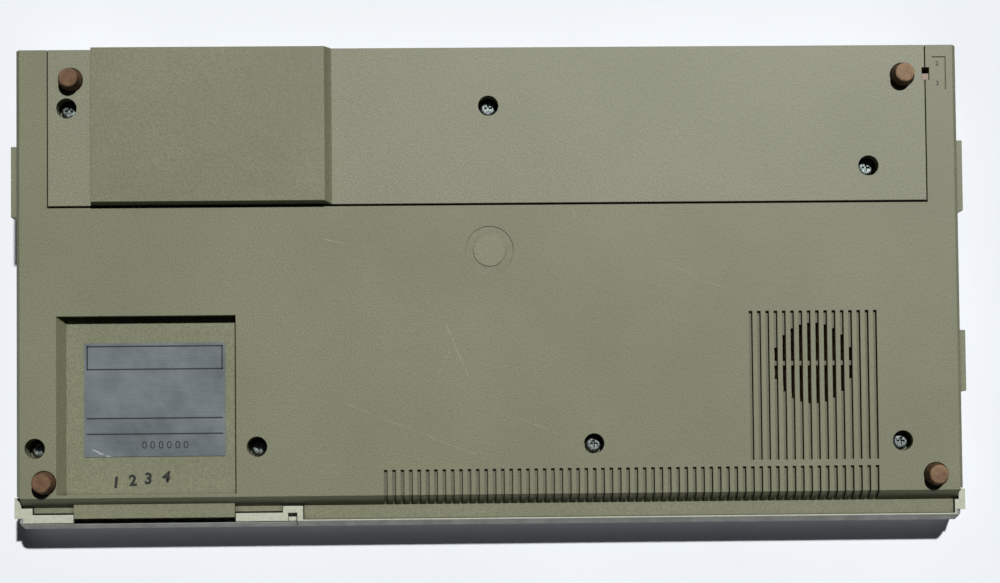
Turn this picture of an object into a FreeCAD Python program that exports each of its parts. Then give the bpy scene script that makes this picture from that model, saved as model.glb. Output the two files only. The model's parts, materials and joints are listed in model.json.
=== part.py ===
import FreeCAD, Part
import math
import os

# A home computer with its keyboard built in: a low wedge of two plastic shells on four rubber feet.
# Millimetres. +Z is up, the front edge faces -Y, and the origin is on the floor under the case's middle.

Vector = FreeCAD.Vector

# Keyboard
key_pitch = 19.05
key_gap = 1.85
key_height = 8.0
key_taper = 1.9
key_dish_radius = 30.0
key_dish_depth = 0.8
key_corner_radius = 1.4
key_edge_radius = 0.5
key_wall = 1.3
key_travel = 2.7
key_rest_lift = 3.3
stem_side = 5.6
stem_foot_side = 8.0
stem_foot_height = 1.6
well_margin = 2.0
well_depth = 4.5
bezel_plate = 2.0
bezel_wall = 1.6
membrane_thickness = 0.8
membrane_pad_radius = 2.5
membrane_pad_height = 0.25
backplate_thickness = 1.2
standoff_radius = 3.0

# Each row from the front: where it starts, and its keys with their widths, as shares of the key pitch
row_shares = (
    (3.25, (("space", 7.0),)),
    (0.25, (("shift_left", 1.5), ("z", 1), ("x", 1), ("c", 1), ("v", 1), ("b", 1), ("n", 1), ("m", 1),
            ("symbol", 1), ("break", 1), ("shift_right", 1.5))),
    (1.25, (("a", 1), ("s", 1), ("d", 1), ("f", 1), ("g", 1), ("h", 1), ("j", 1), ("k", 1), ("l", 1),
            ("enter", 1.75))),
    (1.0, tuple((letter, 1) for letter in "qwertyuiop")),
    (0.5, tuple((digit, 1) for digit in "1234567890")),
)
keyboard_width_share = 12.5

# Case shells
upper_wall = 2.3
lower_wall = 2.5
seam = 0.3
side_step = 1.4
bevel_run = 1.6
bevel_rise = 2.2
foot_rise = 5.5
front_border = 5.5
back_border = 7.0
side_border = 11.1
middle_border = 11.3
door_width = 108.7
door_rim = 1.8
deck_angle = 6.5
roof_length = 72.4
top_edge_radius = 1.5
case_height = 45.0
riser_run = 4.0
roof_bevel = 1.5
nose_run = 1.0
nose_drop = 2.5
front_face_height = 11.8
front_draft_run = 2.1
front_draft_rise = 1.6
rim_rise = 4.3
rear_bevel_run = 2.9
rear_bevel_drop = 3.0
part_front_rise = 11.5
part_rear_rise = 24.5

# Front of the lower shell
corner_length = 12.2
slope_setback = 11.8
slope_run = 3.5
slope_bend_shares = ((0.4, 0.29), (0.63, 0.51))
ledge_rise = 5.8
ledge_setback = 2.75
ledge_thickness = 1.2
door_ledge_run = 2.3
bay_corner_rim_width = 7.0
far_corner_rim_width = 4.1
corner_rim_height = 4.2
corner_wrap_width = 2.6
corner_step = 1.6
corner_bevel = 2.4
corner_draft_run = 1.8
corner_cut_depth = 4.0
tab_width = 63.0
tab_rise = 3.5
tab_setback = 3.8

# Rear panel and its raised plateau
panel_side_strip = 10.8
panel_depth = 62.7
panel_seam = 0.45
panel_front_seam = 0.9
panel_lip_width = 1.9
panel_lip_thickness = 1.5
plateau_inset = 18.0
plateau_width = 93.9
plateau_drop = 4.2
plateau_slope = 2.6
plateau_front_run = 1.0

# Screws in the underside
screw_well_radius = 4.0
screw_well_depth = 7.5
bay_well_depth = 10.0
keyboard_well_depth = 6.3
screw_well_wall = 1.4
screw_hole_radius = 1.75
screw_radius = 1.4
screw_head_radius = 3.1
screw_head_height = 2.2
screw_slot_width = 0.8
screw_slot_depth = 1.0
screw_reach = 4.2
screw_fit = 0.05
pillar_radius = 3.6
pillar_web = 2.4
front_screw_setback = 31.3
front_screw_inset = 5.9
far_screw_inset = 22.3
bay_screw_offset = 14.9
keyboard_screw_offset = 15.0
panel_screw_inset = 7.7
panel_screw_setback = 23.2
far_panel_screw_inset = 23.3
far_panel_screw_setback = 48.0

# Feet
foot_radius = 4.6
foot_sole_radius = 3.7
foot_pocket_radius = 4.9
foot_pocket_depth = 4.0
foot_pocket_wall = 1.2
foot_edge_radius = 0.8
rear_foot_inset = 9.3
rear_foot_setback = 12.0
front_foot_inset = 9.4
front_foot_setback = 17.8

# Grooves, speaker and marks in the underside
groove_pitch = 3.28
groove_width = 1.4
groove_depth = 1.5
groove_side_inset = 32.6
grille_count = 16
grille_length = 58.8
vent_count = 60
vent_length = 9.9
vent_gap = 2.5
speaker_opening_radius = 16.0
speaker_setback = 38.1
speaker_rib = 1.8
speaker_radius = 19.5
speaker_rim_height = 2.0
speaker_cone_radius = 15.5
speaker_cone_depth = 2.6
speaker_cap_radius = 5.0
speaker_magnet_radius = 10.5
speaker_height = 6.6
speaker_ring_wall = 1.6
speaker_ring_height = 2.4
gate_setback = 80.4
gate_outer_radius = 9.4
gate_inner_radius = 6.5
gate_depth = 0.25
mark_width = 0.5
mark_depth = 0.35
mark_long = 13.2
mark_short = 5.4
mark_inset = 2.7
mark_setback = 4.7

# Label recess
label_inset = 14.2
label_recess_width = 70.3
label_recess_setback = 105.3
label_recess_depth = 5.2
label_slope = 3.0
label_roof = 1.8
label_front_rim = 1.2
label_width = 55.4
label_height = 44.8
label_thickness = 0.3
label_side_gap = 10.1
label_back_gap = 10.3

# Side bezels and switches
bezel_reach = 2.8
bezel_floor_rise = 4.8
port_bezel_setback = 37.4
port_bezel_length = 28.0
port_bezel_height = 14.6
port_opening_length = 25.0
port_opening_height = 11.6
port_shell_length = 22.0
port_shell_height = 10.2
port_shell_wall = 0.9
port_body_depth = 13.0
port_recess = 5.0
port_pin_radius = 0.5
port_shell_depth = 1.25
port_pin_pitch = 2.77
port_row_pitch = 2.84
port_pin_counts = (5, 4)
power_bezel_setback = 113.2
power_bezel_length = 24.2
power_bezel_height = 8.8
power_slot_height = 5.2
power_knob_length = 8.0
power_knob_reach = 2.2
power_grip_count = 4
power_travel = 4.4
power_body_length = 17.0
power_body_depth = 6.0
power_body_height = 7.4
switch_wall = 0.8
knob_flange = 1.2

# Main board
board_rise = 5.5
board_thickness = 1.6
board_side_inset = 18.0
board_front_setback = 89.4
board_rear_inset = 6.5
board_tongue_width = 24.0
board_tongue_length = 40.0
board_post_radius = 3.0
board_clearance = 0.8
edge_tongue_width = 70.0
edge_slot_width = 76.0
edge_slot_below = 5.4
edge_slot_above = 6.2
edge_recess = 1.0

board_post_shares = (-0.9, -0.3, 0.3, 0.9)
chip_length = 36.0
chip_width = 14.0
chip_height = 4.2
small_chip_length = 19.5
small_chip_width = 7.0
large_chip_shares = (-0.62, -0.34, -0.06, 0.22, 0.50)
small_chip_shares = (-0.70, -0.52, -0.34, -0.16, 0.02, 0.20)
chip_row_shares = (0.34, 0.64)
can_radius = 5.0
can_height = 14.0
can_shares = (-0.46, -0.38, -0.30)
sink_length = 46.0
sink_depth = 14.0
sink_height = 16.0
sink_fin = 1.4
sink_pitch = 4.6
sink_share = 0.80

# Rear jacks
jack_centre_lift = 5.2
jack_body_width = 12.0
jack_body_depth = 13.0
jack_body_height = 10.4
jack_small_hole = 1.8
jack_power_hole = 3.1
jack_power_pin = 1.0
jack_ring_radius = 4.1
jack_hole_depth = 9.0
jack_pitch = 17.0
jack_side_shares = (0.08, -0.02, -0.12)
phono_radius = 4.2
phono_hole_radius = 1.6
phono_skirt_wall = 0.6

# Television signal box and its channel slider
box_width = 38.0
box_length = 30.0
box_height = 17.0
box_wall = 0.8
box_lift = 5.8
box_side_gap = 3.4
box_rear_gap = 0.3
slider_slot_width = 3.0
slider_setback = 11.55
slider_length = 2.6
slider_travel = 2.2
slider_recess = 0.6

# Cartridge bay, connector and door
bay_front_wall = 3.3
bay_offset = 1.3
bay_opening_width = 63.6
bay_wall = 2.3
connector_width = 62.0
connector_depth = 13.0
connector_height = 11.0
connector_slot_width = 54.0
connector_slot_height = 2.2
connector_slot_depth = 8.0
connector_gap = 3.0
hinge_setback = 8.5
knuckle_radius = 2.6
hinge_pin_radius = 1.5
hinge_pin_fit = 0.06
hinge_gap = 0.6
hinge_ear = 2.7
hinge_ear_reach = 5.0
hinge_ear_gap = 0.9
door_gap = 0.3
door_thickness = 2.4
door_badge_width = 60.0
door_badge_length = 9.0
door_badge_depth = 0.4
door_badge_setback = 16.0
block_width = 7.9
block_slot_width = 3.6
block_slot_depth = 3.2

# Roof vents
roof_vent_count = 84
roof_vent_length = 38.0
roof_vent_setback = 20.0
roof_groove_depth = 1.1
roof_through_count = 40
roof_through_length = 24.0

# Fits
clearance = 0.3
cut_over = 1.0

# Sizes worked out from the ones above
half = 0.5
full_turn = 360
well_width = keyboard_width_share * key_pitch + 2 * well_margin
well_length = len(row_shares) * key_pitch + 2 * well_margin
case_width = side_border + well_width + middle_border + door_width + door_rim
upper_half_width = case_width * half
lower_half_width = upper_half_width - side_step
floor_half_width = lower_half_width - bevel_run
bezel_half_width = lower_half_width + bezel_reach
deck_slope = math.radians(deck_angle)
deck_run = (front_border + well_length + back_border) * math.cos(deck_slope)
case_depth = nose_run + deck_run + riser_run + roof_length
rear_y = case_depth * half
front_y = -rear_y
deck_front_y = front_y + nose_run
deck_front_z = foot_rise + rim_rise + front_draft_rise + front_face_height + nose_drop
deck_back_y = deck_front_y + deck_run
deck_back_z = deck_front_z + deck_run * math.tan(deck_slope)
rim_z = foot_rise + rim_rise
corner_y = front_y + corner_length
part_front_z = foot_rise + part_front_rise
part_rear_z = foot_rise + part_rear_rise
floor_z = foot_rise + lower_wall
slope_back_y = front_y + slope_setback
slope_front_y = slope_back_y - slope_run
ledge_z = foot_rise + ledge_rise
ledge_top_z = ledge_z + ledge_thickness
ledge_front_y = front_y + ledge_setback
panel_half_width = floor_half_width - panel_side_strip
panel_front_y = rear_y - panel_depth
plateau_outer_x = panel_half_width - plateau_inset
plateau_inner_x = plateau_outer_x - plateau_width
door_right_x = upper_half_width - door_rim
door_left_x = door_right_x - door_width
door_middle_x = (door_left_x + door_right_x) * half
bay_middle_x = door_middle_x + bay_offset
bay_left_x = door_left_x - seam
well_left_x = -upper_half_width + side_border
well_right_x = well_left_x + well_width
well_front_v = front_border
well_back_v = front_border + well_length
groove_last_x = -floor_half_width + groove_side_inset
vent_back_y = slope_back_y + vent_length
grille_front_y = vent_back_y + vent_gap
speaker_x = groove_last_x + (grille_count - 1) * groove_pitch * half
speaker_y = grille_front_y + speaker_setback
label_outer_x = floor_half_width - label_inset
label_inner_x = label_outer_x - label_recess_width
label_back_y = rear_y - label_recess_setback
label_recess_z = foot_rise + label_recess_depth
label_roof_z = label_recess_z + label_roof
board_z = foot_rise + board_rise
board_top_z = board_z + board_thickness
board_half_width = upper_half_width - board_side_inset
board_front_y = rear_y - board_front_setback
board_rear_y = rear_y - board_rear_inset
keyboard_stack = bezel_plate + clearance + stem_foot_height + key_travel + membrane_pad_height + clearance
membrane_top_w = -well_depth - keyboard_stack
backplate_top_w = membrane_top_w - membrane_thickness
backplate_bottom_w = backplate_top_w - backplate_thickness
hinge_v = well_back_v + back_border - hinge_setback
box_left_x = -lower_half_width + lower_wall + box_side_gap
box_right_x = box_left_x + box_width
box_bottom_z = foot_rise + box_lift
box_rear_y = rear_y - lower_wall - box_rear_gap
slider_slot_length = slider_length + slider_travel + clearance
power_slot_length = power_knob_length + power_travel + 2 * clearance
slider_x = -panel_half_width
slider_y = rear_y - slider_setback
jack_z = board_top_z + jack_centre_lift
port_y = rear_y - port_bezel_setback - port_bezel_length * half
port_z = foot_rise + bezel_floor_rise + port_bezel_height * half
power_y = rear_y - power_bezel_setback - power_bezel_length * half
power_z = foot_rise + bezel_floor_rise + power_bezel_height * half

front_screw_y = front_y + front_screw_setback
bay_screws = (
    (floor_half_width - front_screw_inset, front_screw_y, bay_well_depth),
    (door_left_x + bay_screw_offset, front_screw_y, bay_well_depth),
)
keyboard_screws = (
    ((well_left_x + well_right_x) * half + keyboard_screw_offset, front_screw_y, keyboard_well_depth),
    (-floor_half_width + far_screw_inset, front_screw_y, keyboard_well_depth),
)
panel_screws = (
    (panel_half_width - panel_screw_inset, rear_y - panel_screw_setback, screw_well_depth),
    (0, rear_y - panel_screw_setback, screw_well_depth),
    (-panel_half_width + far_panel_screw_inset, rear_y - far_panel_screw_setback, screw_well_depth),
)
rear_foot_x = panel_half_width - rear_foot_inset
front_foot_x = floor_half_width - front_foot_inset
rear_feet = tuple((side * rear_foot_x, rear_y - rear_foot_setback) for side in (1, -1))
front_feet = tuple((side * front_foot_x, front_y + front_foot_setback) for side in (1, -1))


# Basic shapes

def box(low, high):
    """A block between two opposite corners."""
    size = [b - a for a, b in zip(low, high)]
    return Part.makeBox(size[0], size[1], size[2], Vector(*low))


def prism_x(points, x0, x1):
    """An outline of (y, z) points drawn out along X."""
    corners = [Vector(x0, y, z) for y, z in points]
    return Part.Face(Part.makePolygon(corners + corners[:1])).extrude(Vector(x1 - x0, 0, 0))


def prism_y(points, y0, y1):
    """An outline of (x, z) points drawn out along Y."""
    corners = [Vector(x, y0, z) for x, z in points]
    return Part.Face(Part.makePolygon(corners + corners[:1])).extrude(Vector(0, y1 - y0, 0))


def prism_z(points, z0, z1):
    """An outline of (x, y) points drawn out along Z."""
    corners = [Vector(x, y, z0) for x, y in points]
    return Part.Face(Part.makePolygon(corners + corners[:1])).extrude(Vector(0, 0, z1 - z0))


def disc(x, y, z0, z1, radius):
    """An upright cylinder."""
    return Part.makeCylinder(radius, z1 - z0, Vector(x, y, z0), Vector(0, 0, 1))


def rod_x(x0, x1, y, z, radius):
    """A cylinder lying along X."""
    return Part.makeCylinder(radius, x1 - x0, Vector(x0, y, z), Vector(1, 0, 0))


def rod_y(y0, y1, x, z, radius):
    """A cylinder lying along Y."""
    return Part.makeCylinder(radius, y1 - y0, Vector(x, y0, z), Vector(0, 1, 0))


def join(first, *others):
    """One solid made of several."""
    return first.fuse(list(others)).removeSplitter()


def cut(shape, tools):
    """A shape less every tool in a list."""
    return shape.cut(list(tools)) if tools else shape


def on_deck(shape):
    """Moves a shape from deck coordinates, where z is zero on the deck, to its place in the case."""
    placed = shape.copy()
    placed.rotate(Vector(0, 0, 0), Vector(1, 0, 0), deck_angle)
    placed.translate(Vector(0, deck_front_y, deck_front_z))
    return placed


def export(name, shapes):
    """Writes one sub-part, which may be a group of solids."""
    shape = shapes if isinstance(shapes, Part.Shape) else Part.makeCompound(shapes)
    shape.exportStep(os.path.join("parts", name + ".step"))
    print(name, "solids", len(shape.Solids), "volume", round(shape.Volume), "valid", shape.isValid())


# Outlines that several pieces share

def deck_height(y):
    """Height of the deck surface over a place."""
    return deck_front_z + (y - deck_front_y) * math.tan(deck_slope)


def part_height(y):
    """Height of the sloping joint between the two shells over a place."""
    share = (y - corner_y) / (rear_y - corner_y)
    return part_front_z + share * (part_rear_z - part_front_z)


def well_top(depth):
    """Height of the top of a screw well's cup."""
    return foot_rise + depth + screw_well_wall


def upper_chain(offset):
    """The upper shell's outline from the front rim over the top to the rear, moved inwards by an offset."""
    points = [
        (front_y + front_draft_run, rim_z),
        (front_y, rim_z + front_draft_rise),
        (front_y, rim_z + front_draft_rise + front_face_height),
        (deck_front_y, deck_front_z),
        (deck_back_y, deck_back_z),
        (deck_back_y + riser_run - roof_bevel, case_height - roof_bevel),
        (deck_back_y + riser_run, case_height),
        (rear_y - rear_bevel_run, case_height),
        (rear_y, case_height - rear_bevel_drop),
        (rear_y, rim_z),
    ]
    lines = []
    for (y0, z0), (y1, z1) in zip(points, points[1:]):
        length = math.hypot(y1 - y0, z1 - z0)
        shift_y = (z1 - z0) / length * offset
        shift_z = -(y1 - y0) / length * offset
        lines.append(((y0 + shift_y, z0 + shift_z), (y1 + shift_y, z1 + shift_z)))
    chain = [lines[0][0]]
    for (a, b), (c, d) in zip(lines, lines[1:]):
        turn = (b[0] - a[0]) * (d[1] - c[1]) - (b[1] - a[1]) * (d[0] - c[0])
        share = ((c[0] - a[0]) * (d[1] - c[1]) - (c[1] - a[1]) * (d[0] - c[0])) / turn
        chain.append((a[0] + share * (b[0] - a[0]), a[1] + share * (b[1] - a[1])))
    chain.append(lines[-1][1])
    return chain


def upper_solid(offset, x0, x1, low_z):
    """The space under the upper outline, down to a level."""
    chain = upper_chain(offset)
    return prism_x(chain + [(chain[-1][0], low_z), (chain[0][0], low_z)], x0, x1)


def front_corner_cuts():
    """What makes the front face narrower than the case, with bevelled corners and drafted lower edges."""
    tools = []
    step_x = upper_half_width - corner_step
    for side in (1, -1):
        outer = side * (upper_half_width + cut_over)
        corner = [
            (side * (step_x - corner_bevel), front_y - cut_over),
            (side * (step_x - corner_bevel), front_y),
            (side * step_x, front_y + corner_bevel),
            (side * step_x, front_y + corner_cut_depth),
            (outer, front_y + corner_cut_depth),
            (outer, front_y - cut_over),
        ]
        tools.append(prism_z(corner, 0, case_height))
        edge = [
            (side * (step_x - corner_draft_run), rim_z - cut_over),
            (side * (step_x - corner_draft_run), rim_z),
            (side * step_x, rim_z + front_draft_rise),
            (outer, rim_z + front_draft_rise),
            (outer, rim_z - cut_over),
        ]
        tools.append(prism_y(edge, front_y - cut_over, front_y + corner_cut_depth))
    return tools


# Upper shell

def outer_upper_block():
    """The upper shell's full outside, with its long top edges rounded."""
    block = upper_solid(0, -upper_half_width, upper_half_width, rim_z)
    edges = []
    for edge in block.Edges:
        ends = [vertex.Point for vertex in edge.Vertexes]
        on_side = all(abs(abs(end.x) - upper_half_width) < clearance for end in ends)
        on_top = all(end.z > rim_z + front_draft_rise + clearance for end in ends)
        if on_side and on_top:
            edges.append(edge)
    return block.makeFillet(top_edge_radius, edges)


def part_line_tool():
    """The space under the sloping joint, behind the front corners."""
    back = rear_y + cut_over
    outline = [
        (corner_y, 0),
        (corner_y, part_height(corner_y)),
        (back, part_height(back)),
        (back, 0),
    ]
    return prism_x(outline, -bezel_half_width - cut_over, bezel_half_width + cut_over)


def roof_vents():
    """Grooves across the roof, and slots right through it in the middle ones."""
    middle = (roof_vent_count - 1) * half
    y0 = deck_back_y + riser_run + roof_vent_setback - roof_vent_length * half + roof_through_length * half
    tools = []
    for number in range(roof_vent_count):
        x = (number - middle) * groove_pitch
        low = (x - groove_width * half, y0, case_height - roof_groove_depth)
        tools.append(box(low, (x + groove_width * half, y0 + roof_vent_length, case_height + cut_over)))
        if abs(number - middle) < roof_through_count * half:
            y1 = y0 + (roof_vent_length - roof_through_length) * half
            low = (x - groove_width * half, y1, case_height - upper_wall - cut_over)
            high = (x + groove_width * half, y1 + roof_through_length, case_height + cut_over)
            tools.append(box(low, high))
    return tools


def corner_rims():
    """The thick foot of the upper shell at both front corners, and the wraps behind them."""
    pieces = []
    for side, width in ((1, bay_corner_rim_width), (-1, far_corner_rim_width)):
        outer = side * (upper_half_width - top_edge_radius)
        rim = sorted((outer, side * (upper_half_width - width)))
        wrap = sorted((outer, side * (upper_half_width - corner_wrap_width)))
        y0 = front_y + front_draft_run + bay_front_wall - seam
        top_z = rim_z + corner_rim_height
        low = (rim[0], front_y + front_draft_run, rim_z)
        pieces.append(box(low, (rim[1], slope_front_y - seam, top_z)))
        pieces.append(box((wrap[0], y0, rim_z), (wrap[1], corner_y, part_front_z)))
    low = (-upper_half_width + upper_wall * half, front_y + front_draft_run, rim_z)
    high = (-upper_half_width + far_corner_rim_width, front_y + corner_cut_depth + corner_step,
            deck_front_z - upper_wall * half)
    pieces.append(box(low, high))
    return pieces


def bay_walls():
    """The cartridge bay's left wall, its front walls beside the mouth, and the slotted block at the seam."""
    wall = prism_x([
        (front_y + front_draft_run, rim_z),
        (deck_front_y, deck_height(deck_front_y) - upper_wall * half),
        (deck_back_y, deck_height(deck_back_y) - upper_wall * half),
        (deck_back_y, well_top(bay_well_depth) + clearance),
        (slope_front_y - seam, well_top(bay_well_depth) + clearance),
        (slope_front_y - seam, rim_z),
    ], bay_left_x - bay_wall, bay_left_x)
    y0 = front_y + front_draft_run
    y1 = y0 + bay_front_wall
    roof = deck_height(y0) - door_thickness - door_gap - nose_drop
    mouth_left = bay_middle_x - bay_opening_width * half
    mouth_right = bay_middle_x + bay_opening_width * half
    left = box((bay_left_x - bay_wall, y0, rim_z), (mouth_left, y1, roof))
    right = box((mouth_right, y0, rim_z), (upper_half_width - upper_wall * half, y1, roof))
    block = box((bay_left_x - bay_wall, y0, rim_z),
                (bay_left_x - bay_wall + block_width, slope_front_y - seam, rim_z + corner_rim_height))
    slot_top = rim_z + corner_rim_height - upper_wall * half
    slot = box((bay_left_x, y0 - cut_over, rim_z - cut_over),
               (bay_left_x + block_slot_width, y0 + block_slot_depth, slot_top))
    return [wall, left, right, block], slot


def hinge_ears():
    """Two ears flush with the deck that carry the door's pins, in deck coordinates."""
    ears = []
    for x0 in (bay_left_x, door_right_x + seam - hinge_ear):
        low = (x0, hinge_v - hinge_ear_reach, -2 * knuckle_radius - hinge_pin_radius)
        ears.append(box(low, (x0 + hinge_ear, hinge_v + hinge_ear_reach, -top_edge_radius * half)))
    return ears


def hinge_holes():
    """Holes through the ears for the door's pins, in deck coordinates."""
    radius = hinge_pin_radius + hinge_pin_fit
    right = door_right_x + seam
    return [
        rod_x(bay_left_x, bay_left_x + hinge_ear + cut_over, hinge_v, -knuckle_radius, radius),
        rod_x(right - hinge_ear - cut_over, right, hinge_v, -knuckle_radius, radius),
    ]


def door_space():
    """The space that the door and its hinge take out of the upper shell."""
    ear_left = bay_left_x + hinge_ear
    ear_right = door_right_x + seam - hinge_ear
    depth = -2 * knuckle_radius
    front = box((bay_left_x, -cut_over - nose_run, depth),
                (door_right_x + seam, hinge_v - hinge_ear_reach, case_height))
    back = box((ear_left, hinge_v - hinge_ear_reach - cut_over, depth),
               (ear_right, hinge_v + knuckle_radius + hinge_gap, case_height))
    nose = box((bay_left_x, front_y - cut_over, 0),
               (door_right_x + seam, front_y + front_draft_run, case_height))
    lip_end = box((door_right_x, front_y - cut_over, 0),
                  (upper_half_width + cut_over, front_y + corner_cut_depth, case_height))
    return [on_deck(front), on_deck(back), nose, lip_end]


def pillars():
    """Screw pillars of the upper shell with the webs that hold them."""
    shapes = []
    for x, y, depth in panel_screws:
        shapes.append(disc(x, y, well_top(depth) + clearance, case_height - upper_wall * half, pillar_radius))
    foot_z = well_top(bay_well_depth) + clearance
    right_x, right_y, depth = bay_screws[0]
    left_x, left_y, depth = bay_screws[1]
    head = deck_height(left_y) - 2 * knuckle_radius - clearance - pillar_web
    web = pillar_web * half
    shapes.append(disc(right_x, right_y, foot_z, head, pillar_radius))
    shapes.append(box((right_x, right_y - web, part_height(right_y + web) + clearance),
                      (upper_half_width - upper_wall * half, right_y + web, head)))
    shapes.append(disc(left_x, left_y, foot_z, head, pillar_radius))
    shapes.append(box((bay_left_x - bay_wall * half, left_y - web, foot_z), (left_x, left_y + web, head)))
    return shapes


def front_rebates():
    """Room behind the front rim for the lower shell's ledge and tab, and the mouth of the cartridge bay."""
    back = slope_front_y
    ledge_y = ledge_front_y - clearance * half
    block_x = bay_left_x - bay_wall
    ledge = box((-upper_half_width + far_corner_rim_width, ledge_y, 0),
                (block_x, back, ledge_top_z + clearance))
    tab_y = front_y + tab_setback - clearance
    tab_x = tab_width * half + clearance
    tab = box((bay_middle_x - tab_x, tab_y, 0), (bay_middle_x + tab_x, back, ledge_top_z + clearance))
    mouth_x = bay_opening_width * half
    mouth_y = front_y + front_draft_run + bay_front_wall + cut_over
    mouth = box((bay_middle_x - mouth_x, front_y, 0), (bay_middle_x + mouth_x, mouth_y, case_height))
    return [ledge, tab, mouth]


def pillar_bores():
    """Blind screw bores up into the pillars."""
    tools = []
    for x, y, depth in panel_screws + bay_screws:
        seat = foot_rise + depth
        tools.append(disc(x, y, seat, seat + screw_reach + clearance, screw_radius))
    return tools


def top_case():
    """The upper shell: deck, riser, roof and side walls in one piece."""
    shell = outer_upper_block()
    inside = upper_solid(upper_wall, -upper_half_width + upper_wall, upper_half_width - upper_wall, 0)
    shell = cut(shell, [inside, part_line_tool()])
    bay, slot = bay_walls()
    shell = join(shell, *corner_rims(), *bay, *pillars())
    well = box((well_left_x - clearance, well_front_v - clearance, -case_height * half),
               (well_right_x + clearance, well_back_v + clearance, case_height))
    shell = cut(shell, door_space() + front_rebates() + [on_deck(well), slot])
    shell = join(shell, *[on_deck(ear) for ear in hinge_ears()])
    holes = [on_deck(hole) for hole in hinge_holes()]
    return cut(shell, holes + pillar_bores() + roof_vents() + front_corner_cuts())


def cartridge_door():
    """The hinged door: a sloping plate with a down-turned front lip, a knuckle bar and two pins."""
    plate = upper_solid(0, door_left_x, door_right_x, rim_z)
    plate = cut(plate, [upper_solid(door_thickness, door_left_x - cut_over, door_right_x + cut_over, 0)])
    keep = on_deck(box((door_left_x - cut_over, -case_height, -case_height),
                       (door_right_x + cut_over, hinge_v, case_height)))
    plate = plate.common(keep)
    behind = box((door_left_x - cut_over, front_y + front_draft_run - door_gap, 0),
                 (door_right_x + cut_over, rear_y, deck_height(front_y) - door_thickness - nose_drop))
    plate = cut(plate, [behind])
    notches = []
    ear_left = bay_left_x + hinge_ear + clearance
    ear_right = door_right_x + seam - hinge_ear - clearance
    for x0, x1 in ((door_left_x - cut_over, ear_left), (ear_right, door_right_x + cut_over)):
        low = (x0, hinge_v - hinge_ear_reach - hinge_ear_gap, -case_height * half)
        notches.append(on_deck(box(low, (x1, case_depth, case_height))))
    plate = cut(plate, notches + front_corner_cuts())
    knuckle = rod_x(ear_left, ear_right, hinge_v, -knuckle_radius, knuckle_radius)
    pin_right = door_right_x + seam - clearance
    pins = rod_x(bay_left_x + clearance, pin_right, hinge_v, -knuckle_radius, hinge_pin_radius)
    door = join(plate, on_deck(knuckle), on_deck(pins))
    badge = box((door_middle_x - door_badge_width * half, door_badge_setback, -door_badge_depth),
                (door_middle_x + door_badge_width * half, door_badge_setback + door_badge_length, cut_over))
    return cut(door, [on_deck(badge)])


# Lower shell

def floor_plate():
    """The lower shell's floor behind the front corners, with bevelled sides, and its side and rear walls."""
    outline = [
        (-floor_half_width, foot_rise),
        (floor_half_width, foot_rise),
        (lower_half_width, foot_rise + bevel_rise),
        (lower_half_width, case_height),
        (-lower_half_width, case_height),
        (-lower_half_width, foot_rise + bevel_rise),
    ]
    body = prism_y(outline, corner_y + seam, rear_y)
    inside = box((-lower_half_width + lower_wall, front_y, floor_z),
                 (lower_half_width - lower_wall, rear_y - lower_wall, case_height + cut_over))
    above = prism_x([
        (front_y - cut_over, part_height(front_y - cut_over) - seam),
        (rear_y + cut_over, part_height(rear_y + cut_over) - seam),
        (rear_y + cut_over, case_height + cut_over),
        (front_y - cut_over, case_height + cut_over),
    ], -lower_half_width - cut_over, lower_half_width + cut_over)
    return cut(body, [inside, above])


def slope_line(depth):
    """The bent line of the front slope from the underside to the ledge, moved inwards by a depth."""
    line = [(slope_back_y, foot_rise + depth)]
    for run_share, rise_share in slope_bend_shares:
        line.append((slope_back_y - run_share * slope_run, foot_rise + rise_share * ledge_rise + depth))
    return line + [(slope_front_y, ledge_z + depth)]


def front_slope():
    """The bent slope at the front of the underside and the ledge in front of it."""
    back = corner_y + seam + lower_wall
    outline = [(back, foot_rise)] + slope_line(0) + [
        (ledge_front_y, ledge_z),
        (ledge_front_y, ledge_top_z),
        (slope_front_y + lower_wall * half, ledge_top_z),
        (slope_back_y + lower_wall * half, floor_z),
        (back, floor_z),
    ]
    slope = prism_x(outline, -floor_half_width, floor_half_width)
    side_cut_y = slope_front_y - seam * half
    over_x = floor_half_width + cut_over
    tools = []
    for side, width in ((1, bay_corner_rim_width), (-1, far_corner_rim_width)):
        xs = sorted((side * (upper_half_width - width - seam), side * over_x))
        tools.append(box((xs[0], front_y, 0), (xs[1], side_cut_y, case_height)))
        corner = [
            (side * floor_half_width, slope_back_y),
            (side * (floor_half_width - seam), slope_front_y - cut_over),
            (side * over_x, slope_front_y - cut_over),
            (side * over_x, slope_back_y),
        ]
        tools.append(prism_z(corner, 0, case_height))
    block_x = bay_left_x - bay_wall
    tools.append(box((block_x - seam, front_y, 0), (block_x + block_width + seam, side_cut_y, case_height)))
    door_ledge_y = slope_front_y - door_ledge_run
    tools.append(box((block_x, front_y, 0), (upper_half_width, door_ledge_y, case_height)))
    return cut(slope, tools)


def cartridge_tab():
    """The raised tab that guides a cartridge into the bay."""
    x0 = bay_middle_x - tab_width * half
    x1 = bay_middle_x + tab_width * half
    back = slope_back_y - slope_bend_shares[0][0] * slope_run
    return box((x0, front_y + tab_setback, foot_rise + tab_rise), (x1, back, ledge_top_z))


def label_housing():
    """The block inside the shell that holds the label recess."""
    x0 = label_inner_x - lower_wall
    x1 = label_outer_x + lower_wall
    return box((x0, slope_back_y, foot_rise), (x1, label_back_y + lower_wall, label_roof_z))


def label_recess():
    """The recess for the label, with a sloping outer wall and a narrow rim at the front."""
    outline = [
        (label_inner_x, foot_rise - cut_over),
        (label_outer_x, foot_rise - cut_over),
        (label_outer_x, foot_rise),
        (label_outer_x - label_slope, label_recess_z),
        (label_inner_x, label_recess_z),
    ]
    return prism_y(outline, slope_back_y + label_front_rim, label_back_y)


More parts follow.
